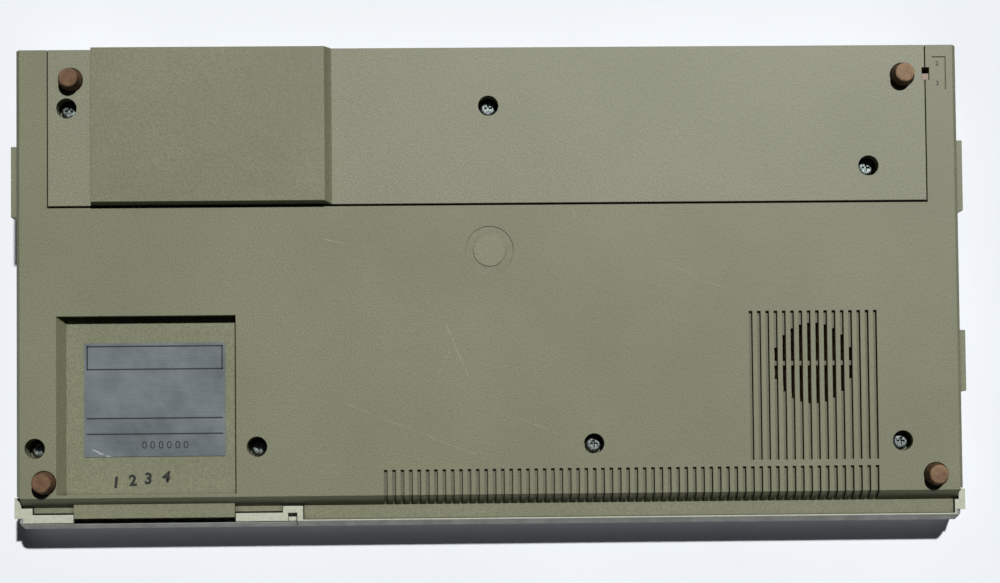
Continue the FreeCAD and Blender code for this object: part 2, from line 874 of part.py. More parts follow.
def screw_well(x, y, depth):
    """The cup around one screw recess, and the recess with its screw hole."""
    cup = disc(x, y, foot_rise, well_top(depth), screw_well_radius + screw_well_wall)
    recess = disc(x, y, foot_rise - cut_over, foot_rise + depth, screw_well_radius)
    hole = disc(x, y, foot_rise, well_top(depth) + cut_over, screw_hole_radius)
    return cup, [recess, hole]


def foot_pocket(x, y):
    """The cup around one foot pocket, and the pocket."""
    cup = disc(x, y, foot_rise, foot_rise + foot_pocket_depth + foot_pocket_wall,
               foot_pocket_radius + foot_pocket_wall)
    return cup, [disc(x, y, foot_rise - cut_over, foot_rise + foot_pocket_depth, foot_pocket_radius)]


def grille_tools():
    """Grooves over the speaker and the slots through them inside the speaker's circle."""
    tools = []
    for number in range(grille_count):
        x = groove_last_x + number * groove_pitch
        x0 = x - groove_width * half
        x1 = x + groove_width * half
        low = (x0, grille_front_y, foot_rise - cut_over)
        tools.append(box(low, (x1, grille_front_y + grille_length, foot_rise + groove_depth)))
        reach = speaker_opening_radius ** 2 - (x - speaker_x) ** 2
        if reach > speaker_rib ** 2:
            reach = math.sqrt(reach)
            for y0, y1 in ((-reach, -speaker_rib * half), (speaker_rib * half, reach)):
                tools.append(box((x0, speaker_y + y0, foot_rise), (x1, speaker_y + y1, floor_z + cut_over)))
    return tools


def vent_tools():
    """Short grooves that run over the front slope."""
    low_z = foot_rise - cut_over
    outline = [(vent_back_y, low_z), (vent_back_y, foot_rise + groove_depth)] + slope_line(groove_depth)[:-1]
    outline += [(slope_front_y, ledge_z), (slope_front_y - seam, ledge_z), (slope_front_y - seam, low_z)]
    tools = []
    for number in range(vent_count):
        x = groove_last_x + number * groove_pitch
        tools.append(prism_x(outline, x - groove_width * half, x + groove_width * half))
    return tools


def gate_mark():
    """The shallow ring left by moulding."""
    y = rear_y - gate_setback
    ring = disc(0, y, foot_rise - cut_over, foot_rise + gate_depth, gate_outer_radius)
    return ring.cut(disc(0, y, foot_rise - cut_over, foot_rise + gate_depth + cut_over, gate_inner_radius))


def channel_mark():
    """The engraved bracket beside the channel slider."""
    x0 = -floor_half_width + mark_inset
    y1 = rear_y - mark_setback
    top = foot_rise + mark_depth
    return [
        box((x0, y1 - mark_width, foot_rise - cut_over), (x0 + mark_short, y1, top)),
        box((x0, y1 - mark_long, foot_rise - cut_over), (x0 + mark_width, y1, top)),
    ]


def slider_window(z0, z1):
    """The upright window over the channel slider, between two levels."""
    return box((slider_x - slider_slot_width * half, slider_y - slider_slot_length * half, z0),
               (slider_x + slider_slot_width * half, slider_y + slider_slot_length * half, z1))


def side_bezels():
    """Raised bezels on the side walls, and the openings through them."""
    inner = lower_half_width - lower_wall
    low_z = foot_rise + bezel_floor_rise
    bezels = []
    openings = []
    places = (
        (1, port_y, port_bezel_length, port_bezel_height, port_opening_length, port_opening_height),
        (-1, port_y, port_bezel_length, port_bezel_height, port_opening_length, port_opening_height),
        (-1, power_y, power_bezel_length, power_bezel_height, power_slot_length, power_slot_height),
    )
    for side, y, length, height, open_length, open_height in places:
        xs = sorted((side * (lower_half_width - lower_wall * half), side * bezel_half_width))
        bezels.append(box((xs[0], y - length * half, low_z), (xs[1], y + length * half, low_z + height)))
        xs = sorted((side * (inner - cut_over), side * (bezel_half_width + cut_over)))
        middle = low_z + height * half
        openings.append(box((xs[0], y - open_length * half, middle - open_height * half),
                            (xs[1], y + open_length * half, middle + open_height * half)))
    return bezels, openings


def speaker_ring():
    """The ring on the floor that the speaker sits in."""
    radius = speaker_radius + clearance
    ring = disc(speaker_x, speaker_y, foot_rise + lower_wall * half, floor_z + speaker_ring_height,
                radius + speaker_ring_wall)
    return ring.cut(disc(speaker_x, speaker_y, foot_rise, case_height, radius))


def panel_opening():
    """The space that the rear panel takes out of the lower shell."""
    floor = box((-panel_half_width, panel_front_y, 0), (panel_half_width, rear_y + cut_over, floor_z))
    wall = box((-panel_half_width, rear_y - lower_wall - seam, 0),
               (panel_half_width, rear_y + cut_over, case_height))
    inside = box((-panel_half_width + panel_lip_width, panel_front_y + panel_lip_width, 0),
                 (panel_half_width - panel_lip_width, rear_y + cut_over, case_height))
    return [floor, wall, inside]


def panel_lip():
    """The lip inside the lower shell that the rear panel rests against."""
    z0 = floor_z + clearance
    return box((-lower_half_width + lower_wall * half, panel_front_y - panel_lip_width, z0),
               (lower_half_width - lower_wall * half, rear_y - lower_wall - seam, z0 + panel_lip_thickness))


def board_posts():
    """Posts on the floor under the front of the main board."""
    y = board_front_y + 2 * board_post_radius
    xs = [share * board_half_width for share in board_post_shares]
    return [disc(x, y, foot_rise + lower_wall * half, board_z, board_post_radius) for x in xs]


def bottom_case():
    """The lower shell."""
    foot_and_screw = [screw_well(*place) for place in bay_screws + keyboard_screws]
    foot_and_screw += [foot_pocket(x, y) for x, y in front_feet]
    bezels, openings = side_bezels()
    solid = [panel_lip(), front_slope(), cartridge_tab(), label_housing(), speaker_ring()]
    solid += [cup for cup, tools in foot_and_screw] + bezels + board_posts()
    shell = join(floor_plate(), *solid)
    tools = panel_opening() + [label_recess(), gate_mark(), slider_window(foot_rise - cut_over, board_z)]
    tools += openings + channel_mark() + grille_tools() + vent_tools()
    for cup, cuts in foot_and_screw:
        tools += cuts
    return cut(shell, tools)


# Rear panel

def panel_plate():
    """The panel's flat plate and upright rear wall."""
    x = panel_half_width - panel_seam
    y0 = panel_front_y + panel_front_seam
    plate = box((-x, y0, foot_rise), (x, rear_y, floor_z))
    wall = box((-x, rear_y - lower_wall, foot_rise), (x, rear_y, part_height(rear_y) - 2 * seam))
    return join(plate, wall)


def plateau(offset):
    """The raised field of the panel, or the hollow behind it when made smaller by an offset."""
    x0 = plateau_inner_x
    x1 = plateau_outer_x - offset
    y0 = panel_front_y + panel_front_seam
    low_z = foot_rise - plateau_drop + offset
    top_z = foot_rise + offset
    run = plateau_slope
    bottom = [
        Vector(x0 + run + offset, y0 + plateau_front_run + offset, low_z),
        Vector(x1, y0 + plateau_front_run + offset, low_z),
        Vector(x1, rear_y - offset, low_z), Vector(x0 + run + offset, rear_y - offset, low_z),
    ]
    top = [
        Vector(x0 + offset, y0 + offset, top_z), Vector(x1, y0 + offset, top_z),
        Vector(x1, rear_y - offset, top_z), Vector(x0 + offset, rear_y - offset, top_z),
    ]
    wires = [Part.makePolygon(ring + ring[:1]) for ring in (bottom, top)]
    return Part.makeLoft(wires, True, True)


def edge_slot():
    """The slot in the rear wall around the board's edge tongue."""
    x = (plateau_inner_x + plateau_outer_x) * half
    return box((x - edge_slot_width * half, rear_y - lower_wall - cut_over, board_z - edge_slot_below),
               (x + edge_slot_width * half, rear_y + cut_over, board_top_z + edge_slot_above))


def jack_places():
    """Places along the rear wall of the three small jacks and the two phono sockets."""
    small = [(share * panel_half_width, jack_z) for share in jack_side_shares]
    phono_x = box_right_x - 2 * phono_radius
    return small, [(phono_x, jack_z), (phono_x + jack_pitch, jack_z)]


def rear_panel():
    """The removable panel over the rear of the underside."""
    cups = [screw_well(*place) for place in panel_screws] + [foot_pocket(x, y) for x, y in rear_feet]
    shell = join(panel_plate(), plateau(0), *[cup for cup, tools in cups])
    small, phono = jack_places()
    tools = [plateau(lower_wall), edge_slot(), slider_window(foot_rise - cut_over, board_z)]
    tools += [rod_y(rear_y - lower_wall - cut_over, rear_y + cut_over, x, z, jack_ring_radius + clearance)
              for x, z in small]
    tools += [rod_y(rear_y - lower_wall - cut_over, rear_y + cut_over, x, z, phono_radius + clearance)
              for x, z in phono]
    for cup, cuts in cups:
        tools += cuts
    return cut(shell, tools)


# Small fixed pieces

def foot(x, y):
    """One rubber foot that narrows to its sole, with a rounded sole edge."""
    stub = disc(x, y, foot_rise, foot_rise + foot_pocket_depth - clearance * half, foot_radius)
    cone = Part.makeCone(foot_sole_radius, foot_radius, foot_rise, Vector(x, y, 0), Vector(0, 0, 1))
    body = join(cone, stub)
    edges = [edge for edge in body.Edges
             if edge.Length > foot_radius and edge.BoundBox.ZMax < foot_edge_radius]
    return body.makeFillet(foot_edge_radius, edges)


def case_screw(x, y, depth):
    """One cross-head screw with its head down in the recess."""
    seat = foot_rise + depth
    head = disc(x, y, seat - screw_head_height, seat, screw_head_radius)
    rim = [edge for edge in head.Edges if edge.BoundBox.ZMax < seat - screw_head_height * half]
    head = head.makeFillet(screw_head_height * half, rim)
    shank = disc(x, y, seat - screw_head_height * half, seat + screw_reach, screw_radius - screw_fit)
    z1 = seat - screw_head_height + screw_slot_depth
    arm = screw_head_radius * half
    web = screw_slot_width * half
    cross = [box((x - arm, y - web, foot_rise), (x + arm, y + web, z1)),
             box((x - web, y - arm, foot_rise), (x + web, y + arm, z1))]
    return cut(join(head, shank), cross)


def label_plate():
    """The foil plate in the label recess."""
    x1 = label_outer_x - label_side_gap
    y1 = label_back_y - label_back_gap
    low = (x1 - label_width, y1 - label_height, label_recess_z - label_thickness)
    return box(low, (x1, y1, label_recess_z))


def speaker():
    """The loudspeaker: rim, cone, domed cap and magnet turned as one solid."""
    outline = [
        (speaker_cap_radius, floor_z + speaker_cone_depth),
        (speaker_cone_radius, floor_z + speaker_rim_height * half),
        (speaker_cone_radius + speaker_ring_wall, floor_z),
        (speaker_radius, floor_z),
        (speaker_radius, floor_z + speaker_rim_height),
        (speaker_magnet_radius, floor_z + speaker_height * half + speaker_rim_height),
        (speaker_magnet_radius, floor_z + speaker_height),
        (0, floor_z + speaker_height),
        (0, floor_z + speaker_cone_depth * half),
    ]
    corners = [Vector(speaker_x + r, speaker_y, z) for r, z in outline]
    face = Part.Face(Part.makePolygon(corners + corners[:1]))
    return face.revolve(Vector(speaker_x, speaker_y, 0), Vector(0, 0, 1), full_turn)


# Keyboard, built in deck coordinates

def key_places():
    """Every key as its name, its centre and its width."""
    places = []
    for row, (start_share, keys) in enumerate(row_shares):
        v = well_front_v + well_margin + (row + half) * key_pitch
        x = well_left_x + well_margin + start_share * key_pitch
        for name, width_share in keys:
            width = width_share * key_pitch
            places.append(("key_" + name, x + width * half, v, width - key_gap))
            x += width
    return places


def rectangle(x, v, width, length, w):
    """A closed rectangle at one level."""
    a = width * half
    b = length * half
    signs = ((-1, -1), (1, -1), (1, 1), (-1, 1))
    corners = [Vector(x + i * a, v + j * b, w) for i, j in signs]
    return Part.makePolygon(corners + corners[:1])


def cap_body(x, v, width, length, w0, w1, taper):
    """A block that tapers from its base to its top."""
    wires = [rectangle(x, v, width, length, w0), rectangle(x, v, width - 2 * taper, length - 2 * taper, w1)]
    return Part.makeLoft(wires, True, True)


def key(x, v, width):
    """One hard key: a hollow dished cap, a stem through the bezel and a foot that keeps it in."""
    length = key_pitch - key_gap
    w0 = -well_depth + key_rest_lift
    w1 = w0 + key_height
    cap = cap_body(x, v, width, length, w0, w1, key_taper)
    upright = [edge for edge in cap.Edges
               if abs(edge.Vertexes[0].Z - edge.Vertexes[1].Z) > key_height * half]
    cap = cap.makeFillet(key_corner_radius, upright)
    dish_w = w1 + key_dish_radius - key_dish_depth
    reach = (length - 2 * key_taper) * half + cut_over
    wide = width > key_pitch * 2
    if wide:
        dish = rod_x(x - width, x + width, v, dish_w, key_dish_radius)
    else:
        dish = rod_y(v - reach, v + reach, x, dish_w, key_dish_radius)
    cap = cap.cut(dish)
    rim = [edge for edge in cap.Edges if edge.BoundBox.ZMin > w1 - key_dish_depth - key_edge_radius]
    cap = cap.makeFillet(key_edge_radius, rim)
    hollow = cap_body(x, v, width - 2 * key_wall, length - 2 * key_wall, w0 - clearance,
                      w1 - 2 * key_wall, key_taper)
    cap = cap.cut(hollow)
    foot_top = -well_depth - bezel_plate - clearance
    stem = box((x - stem_side * half, v - stem_side * half, foot_top - stem_foot_height),
               (x + stem_side * half, v + stem_side * half, w1 - key_wall - key_dish_depth))
    stem_foot = box((x - stem_foot_side * half, v - stem_foot_side * half, foot_top - stem_foot_height),
                    (x + stem_foot_side * half, v + stem_foot_side * half, foot_top))
    return join(cap, stem, stem_foot)


def key_bezel():
    """The dark tray around the keys, with a square guide hole for every stem."""
    w0 = -well_depth - bezel_plate
    low_w = membrane_top_w
    tray = box((well_left_x, well_front_v, low_w), (well_right_x, well_back_v, 0))
    upper = box((well_left_x + bezel_wall, well_front_v + bezel_wall, -well_depth),
                (well_right_x - bezel_wall, well_back_v - bezel_wall, cut_over))
    lower = box((well_left_x + bezel_wall, well_front_v + bezel_wall, low_w - cut_over),
                (well_right_x - bezel_wall, well_back_v - bezel_wall, w0))
    side = stem_side * half + clearance
    holes = [box((x - side, v - side, w0 - cut_over), (x + side, v + side, cut_over))
             for name, x, v, width in key_places()]
    return cut(tray, [upper, lower] + holes)


def key_membrane():
    """The contact sheet with a raised pad under every key."""
    sheet = box((well_left_x, well_front_v, backplate_top_w), (well_right_x, well_back_v, membrane_top_w))
    pads = [disc(x, v, membrane_top_w - membrane_thickness * half, membrane_top_w + membrane_pad_height,
                 membrane_pad_radius) for name, x, v, width in key_places()]
    return join(sheet, *pads)


def keyboard_backplate():
    """The stiff plate behind the contact sheet, with standoffs down to the two screw wells under it."""
    plate = on_deck(box((well_left_x, well_front_v, backplate_bottom_w),
                        (well_right_x, well_back_v, backplate_top_w)))
    foot_z = well_top(keyboard_well_depth) + clearance
    shapes = []
    bores = []
    for x, y, depth in keyboard_screws:
        top = deck_height(y) + (backplate_top_w - backplate_thickness * half) / math.cos(deck_slope)
        shapes.append(disc(x, y, foot_z, top, standoff_radius))
        bores.append(disc(x, y, foot_z - cut_over, top + backplate_thickness, screw_radius))
    return cut(join(plate, *shapes), bores)


# Electronics

def chip(x, y, length, width, height):
    """A chip on the board."""
    z0 = board_top_z
    return box((x - length * half, y - width * half, z0), (x + length * half, y + width * half, z0 + height))


def board_outline():
    """The board's outline with its edge tongue and its front arm beside the keyboard."""
    x = board_half_width
    arm_left = -lower_half_width + lower_wall + clearance + power_body_depth
    arm_right = arm_left + board_tongue_width
    edge_x = (plateau_inner_x + plateau_outer_x) * half
    notch_x = box_right_x + board_clearance
    notch_y = box_rear_y - box_length - board_clearance
    return [
        (arm_left, board_front_y - board_tongue_length),
        (arm_right, board_front_y - board_tongue_length),
        (arm_right, board_front_y),
        (x, board_front_y),
        (x, board_rear_y),
        (edge_x + edge_tongue_width * half, board_rear_y),
        (edge_x + edge_tongue_width * half, rear_y - edge_recess),
        (edge_x - edge_tongue_width * half, rear_y - edge_recess),
        (edge_x - edge_tongue_width * half, board_rear_y),
        (notch_x, board_rear_y),
        (notch_x, notch_y),
        (-x, notch_y),
        (-x, board_front_y + board_clearance),
        (arm_left, board_front_y + board_clearance),
    ]


def heat_sink(x, y):
    """A finned heat sink standing on the board."""
    base = box((x - sink_length * half, y - sink_fin * half, board_top_z),
               (x + sink_length * half, y + sink_fin * half, board_top_z + sink_height))
    fins = []
    count = int(sink_length / sink_pitch)
    for number in range(count + 1):
        fin_x = x - sink_length * half + number * (sink_length - sink_fin) / count
        fins.append(box((fin_x, y - sink_depth * half, board_top_z),
                        (fin_x + sink_fin, y + sink_depth * half, board_top_z + sink_height)))
    return join(base, *fins)


def main_board():
    """The main board with chips, storage cans, heat sink and the power switch's housing."""
    board = prism_z(board_outline(), board_z, board_top_z)
    holes = [disc(x, y, board_z - cut_over, board_top_z + cut_over,
                  screw_well_radius + screw_well_wall + board_clearance) for x, y, depth in panel_screws]
    board = cut(board, holes)
    depth = board_rear_y - board_front_y
    pieces = [board]
    for share in large_chip_shares:
        pieces.append(chip(share * board_half_width, board_front_y + chip_row_shares[0] * depth,
                           chip_length, chip_width, chip_height))
    for share in small_chip_shares:
        pieces.append(chip(share * board_half_width, board_front_y + chip_row_shares[1] * depth,
                           small_chip_length, small_chip_width, chip_height))
    for share in can_shares:
        pieces.append(disc(share * board_half_width, board_front_y + sink_share * depth,
                           board_top_z, board_top_z + can_height, can_radius))
    pieces.append(heat_sink(large_chip_shares[-1] * board_half_width, board_front_y + sink_share * depth))
    pieces.append(power_housing())
    return pieces


def power_housing():
    """The power switch's housing on the board's front arm, open towards the side wall."""
    x0 = -lower_half_width + lower_wall + clearance
    x1 = x0 + power_body_depth
    z0 = power_z - power_body_height * half
    z1 = z0 + power_body_height
    body = box((x0, power_y - power_body_length * half, z0), (x1, power_y + power_body_length * half, z1))
    space = box((x0 + switch_wall, power_y - power_body_length * half + switch_wall, z0 + switch_wall),
                (x1 - switch_wall, power_y + power_body_length * half - switch_wall, z1 - switch_wall))
    slot_y = power_slot_length * half
    slot_z = power_slot_height * half
    window = box((x0 - cut_over, power_y - slot_y, power_z - slot_z),
                 (x0 + 2 * switch_wall, power_y + slot_y, power_z + slot_z))
    return cut(body, [space, window])


def power_switch():
    """The sliding power knob: a ribbed knob through the side slot on a flange inside the housing."""
    wall_x = -lower_half_width + lower_wall + clearance + switch_wall
    knob_y0 = power_y - (power_travel + power_knob_length) * half
    knob_y1 = knob_y0 + power_knob_length
    tall = power_slot_height * half - clearance
    knob = box((-lower_half_width - power_knob_reach, knob_y0, power_z - tall),
               (wall_x + 2 * clearance, knob_y1, power_z + tall))
    flange = box((wall_x + clearance, knob_y0 - knob_flange, power_z - tall),
                 (wall_x + clearance + 2 * knob_flange, knob_y1 + knob_flange, power_z + tall))
    pitch = power_knob_length / (power_grip_count + 1)
    grips = [box((-lower_half_width - power_knob_reach - cut_over, knob_y0 + number * pitch - clearance, 0),
                 (-lower_half_width - power_knob_reach + clearance * 2, knob_y0 + number * pitch + clearance,
                  case_height)) for number in range(1, power_grip_count + 1)]
    return cut(join(knob, flange), grips)


def rf_modulator():
    """The television signal box, hollow with the slider's window, and its phono socket."""
    front = box_rear_y - box_length
    top = box_bottom_z + box_height
    body = box((box_left_x, front, box_bottom_z), (box_right_x, box_rear_y, top))
    space = box((box_left_x + box_wall, front + box_wall, box_bottom_z + box_wall),
                (box_right_x - box_wall, box_rear_y - box_wall, top - box_wall))
    window = slider_window(box_bottom_z - cut_over, box_bottom_z + 2 * box_wall)
    small, phono = jack_places()
    x, z = phono[0]
    return [cut(body, [space, window]), phono_socket(x, z, box_rear_y)]


def phono_socket(x, z, seat_y):
    """A phono socket that ends flush with the rear wall."""
    body = rod_y(seat_y, rear_y, x, z, phono_radius)
    ring = rod_y(rear_y - lower_wall * half, rear_y + cut_over, x, z, phono_radius - phono_skirt_wall)
    core = rod_y(rear_y - lower_wall * half, rear_y, x, z, phono_radius * half + phono_skirt_wall)
    hole = rod_y(seat_y + clearance, rear_y + cut_over, x, z, phono_hole_radius)
    return cut(join(cut(body, [ring]), core), [hole])


def channel_switch():
    """The channel slider: a knob in the underside window on a flange inside the signal box."""
    y0 = slider_y - slider_slot_length * half + clearance * half
    y1 = y0 + slider_length
    wide = slider_slot_width * half - clearance * half
    flange_z = box_bottom_z + box_wall + clearance
    knob = box((slider_x - wide, y0, foot_rise + slider_recess), (slider_x + wide, y1, flange_z + clearance))
    flange = box((slider_x - wide - knob_flange, y0 - knob_flange, flange_z),
                 (slider_x + wide + knob_flange, y1 + knob_flange, flange_z + knob_flange))
    return join(knob, flange)


def small_jack(x, z, hole_radius, pin_radius):
    """One small jack: a block on the board with a round nose in the rear wall."""
    wall_y = rear_y - lower_wall - clearance
    body = box((x - jack_body_width * half, wall_y - jack_body_depth, board_top_z),
               (x + jack_body_width * half, wall_y, board_top_z + jack_body_height))
    nose = rod_y(wall_y - clearance, rear_y, x, z, jack_ring_radius)
    hole = rod_y(rear_y - jack_hole_depth, rear_y + cut_over, x, z, hole_radius)
    jack = cut(join(body, nose), [hole])
    if pin_radius:
        jack = join(jack, rod_y(rear_y - jack_hole_depth - clearance, rear_y - clearance, x, z, pin_radius))
    return jack


def rear_jacks():
    """The power jack, the two sound jacks and the monitor socket on its block."""
    small, phono = jack_places()
    jacks = [
        small_jack(small[0][0], small[0][1], jack_power_hole, jack_power_pin),
        small_jack(small[1][0], small[1][1], jack_small_hole, 0),
        small_jack(small[2][0], small[2][1], jack_small_hole, 0),
    ]
    x, z = phono[1]
    wall_y = rear_y - lower_wall - clearance
    block = box((x - jack_body_width * half, wall_y - jack_body_depth, board_top_z),
                (x + jack_body_width * half, wall_y, board_top_z + jack_body_height))
    jacks.append(join(block, phono_socket(x, z, wall_y - clearance)))
    return jacks


def joystick_port(side):
    """A nine-pin port: a block on the board with a shallow metal shell around its pins."""
    face = side * (bezel_half_width - port_recess)
    back = side * (bezel_half_width - port_recess - port_body_depth)
    xs = sorted((face, back))
    a = port_shell_length * half
    b = port_shell_height * half
    body = box((xs[0], port_y - a, board_top_z), (xs[1], port_y + a, port_z + b))
    lean = port_row_pitch * half
    outline = [(port_y - a, port_z + b), (port_y + a, port_z + b),
               (port_y + a - lean, port_z - b), (port_y - a + lean, port_z - b)]
    inner = [(port_y - a + port_shell_wall, port_z + b - port_shell_wall),
             (port_y + a - port_shell_wall, port_z + b - port_shell_wall),
             (port_y + a - lean - port_shell_wall, port_z - b + port_shell_wall),
             (port_y - a + lean + port_shell_wall, port_z - b + port_shell_wall)]
    end = face + side * port_shell_depth
    shell = prism_x(outline, face, end)
    shell = cut(shell, [prism_x(inner, face, end + side * cut_over)])
    pins = []
    for count, level in zip(port_pin_counts, (port_row_pitch * half, -port_row_pitch * half)):
        for number in range(count):
            y = port_y + (number - (count - 1) * half) * port_pin_pitch
            xs = sorted((face, end))
            pins.append(rod_x(xs[0], xs[1], y, port_z + level, port_pin_radius))
    return join(body, shell, *pins)


def joystick_ports():
    """Both joystick ports."""
    return [joystick_port(1), joystick_port(-1)]


def cartridge_connector():
    """The edge socket at the back of the cartridge bay, on the front edge of the board."""
    x0 = bay_middle_x - connector_width * half
    x1 = bay_middle_x + connector_width * half
    y0 = board_front_y - connector_depth + connector_gap
    z0 = label_roof_z + clearance
    z1 = z0 + connector_height
    front = box((x0, y0, z0), (x1, board_front_y - clearance * half, z1))
    back = box((x0, board_front_y - clearance, board_top_z), (x1, board_front_y + connector_gap, z1))
    slot_x = connector_slot_width * half
    slot_z = (z0 + z1 - connector_slot_height) * half
    slot = box((bay_middle_x - slot_x, y0 - cut_over, slot_z),
               (bay_middle_x + slot_x, y0 + connector_slot_depth, slot_z + connector_slot_height))
    return cut(join(front, back), [slot])


def main():
    os.makedirs("parts", exist_ok=True)
    export("top_case", top_case())
    export("bottom_case", bottom_case())
    export("rear_panel", rear_panel())
    export("cartridge_door", cartridge_door())
    export("cartridge_connector", cartridge_connector())
    export("key_bezel", on_deck(key_bezel()))
    export("key_membrane", on_deck(key_membrane()))
    export("keyboard_backplate", keyboard_backplate())
    for name, x, v, width in key_places():
        export(name, on_deck(key(x, v, width)))
    export("main_board", main_board())
    export("rf_modulator", rf_modulator())
    export("channel_switch", channel_switch())
    export("power_switch", power_switch())
    export("joystick_ports", joystick_ports())
    export("rear_jacks", rear_jacks())
    export("speaker", speaker())
    export("label_plate", label_plate())
    export("feet", [foot(x, y) for x, y in rear_feet + front_feet])
    export("case_screws", [case_screw(*place) for place in panel_screws + bay_screws + keyboard_screws])


main()
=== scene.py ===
import json
import math

import bmesh
import bpy
from mathutils import Matrix, Vector
from mathutils.bvhtree import BVHTree

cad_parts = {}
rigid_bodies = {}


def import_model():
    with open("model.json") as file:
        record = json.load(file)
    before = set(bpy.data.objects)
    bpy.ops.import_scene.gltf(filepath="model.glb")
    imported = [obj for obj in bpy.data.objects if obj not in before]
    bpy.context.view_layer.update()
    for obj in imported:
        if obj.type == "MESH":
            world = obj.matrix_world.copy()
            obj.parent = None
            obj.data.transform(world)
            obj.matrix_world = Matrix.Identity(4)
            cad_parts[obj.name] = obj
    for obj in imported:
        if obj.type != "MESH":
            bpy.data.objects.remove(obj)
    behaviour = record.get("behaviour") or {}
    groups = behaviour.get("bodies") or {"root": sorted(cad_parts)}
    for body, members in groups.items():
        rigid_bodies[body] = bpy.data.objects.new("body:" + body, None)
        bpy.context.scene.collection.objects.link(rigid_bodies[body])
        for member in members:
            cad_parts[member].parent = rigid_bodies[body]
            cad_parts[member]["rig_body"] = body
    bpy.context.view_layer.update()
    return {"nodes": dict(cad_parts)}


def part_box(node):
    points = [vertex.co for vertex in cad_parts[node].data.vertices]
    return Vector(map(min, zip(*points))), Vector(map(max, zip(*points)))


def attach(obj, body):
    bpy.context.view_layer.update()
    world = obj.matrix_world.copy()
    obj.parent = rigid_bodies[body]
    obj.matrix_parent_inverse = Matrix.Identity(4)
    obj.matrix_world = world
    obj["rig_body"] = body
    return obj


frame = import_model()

# A home computer with a built-in keyboard, seen from below as it lies on its keys.
# Metres, in the frame of the CAD part: +Z up, front edge towards -Y, cartridge door on the +X side.

MM = 0.001
NODES = frame["nodes"]
KEYS = [name for name in NODES if name.startswith("key_") and name not in ("key_bezel", "key_membrane")]
UNDERSIDE = 5.5 * MM
REAR = 94.216 * MM
DECK_FRONT_Y = -93.216 * MM
DECK_FRONT_Z = 25.7 * MM
SILVER_FRONT_Y = -92.2 * MM
PANEL_FLAT_Z = (3.5 * MM, 5.0 * MM)
LABEL_FLOOR_Z = UNDERSIDE + 5.2 * MM
GATE_MARK_Y = 13.816 * MM
GATE_MARK_RADII = (6.7 * MM, 5.0 * MM)
BOARD_TOP_Z = (12.65 * MM, 12.75 * MM)
CHIP_TOP_Z = (17.0 * MM, 17.2 * MM)
PORT_FACE_X = (183.93 * MM, 183.97 * MM)
JACK_Z = 17.8 * MM
PHONO_JACKS_X = (-150.612 * MM, -133.612 * MM)
CHANNEL_MARK_X = -178.4 * MM
DECK_ANGLE = math.radians(6.5)
DECK_UP = Vector((0, -math.sin(DECK_ANGLE), math.cos(DECK_ANGLE)))

# Scratches on the underside, each a start and an end in millimetres and a width, and the crease in the foil.
SCRATCHES = (
    ((18, -14), (8, -38), 0.3),
    ((14, -22), (21, -36), 0.25),
    ((-24, 47), (-30, 28), 0.22),
    ((66, 19), (56, 16), 0.3),
    ((58, -46), (-2, -70), 0.16),
    ((-10, -52), (-28, -60), 0.2),
    ((-70, 8), (-96, -4), 0.18),
    ((-32, 32), (-35, 22), 0.25),
)
FOIL_CREASE = ((158, -63), (145, -68), 0.4)

# Digits stamped below the label, each with its place in millimetres and its turn.
STAMPED_DIGITS = (
    ("1", 147.9, -76.45, 0.10),
    ("2", 141.3, -75.75, -0.05),
    ("3", 135.2, -75.05, 0.06),
    ("4", 128.1, -74.35, 0.16),
)


# Materials

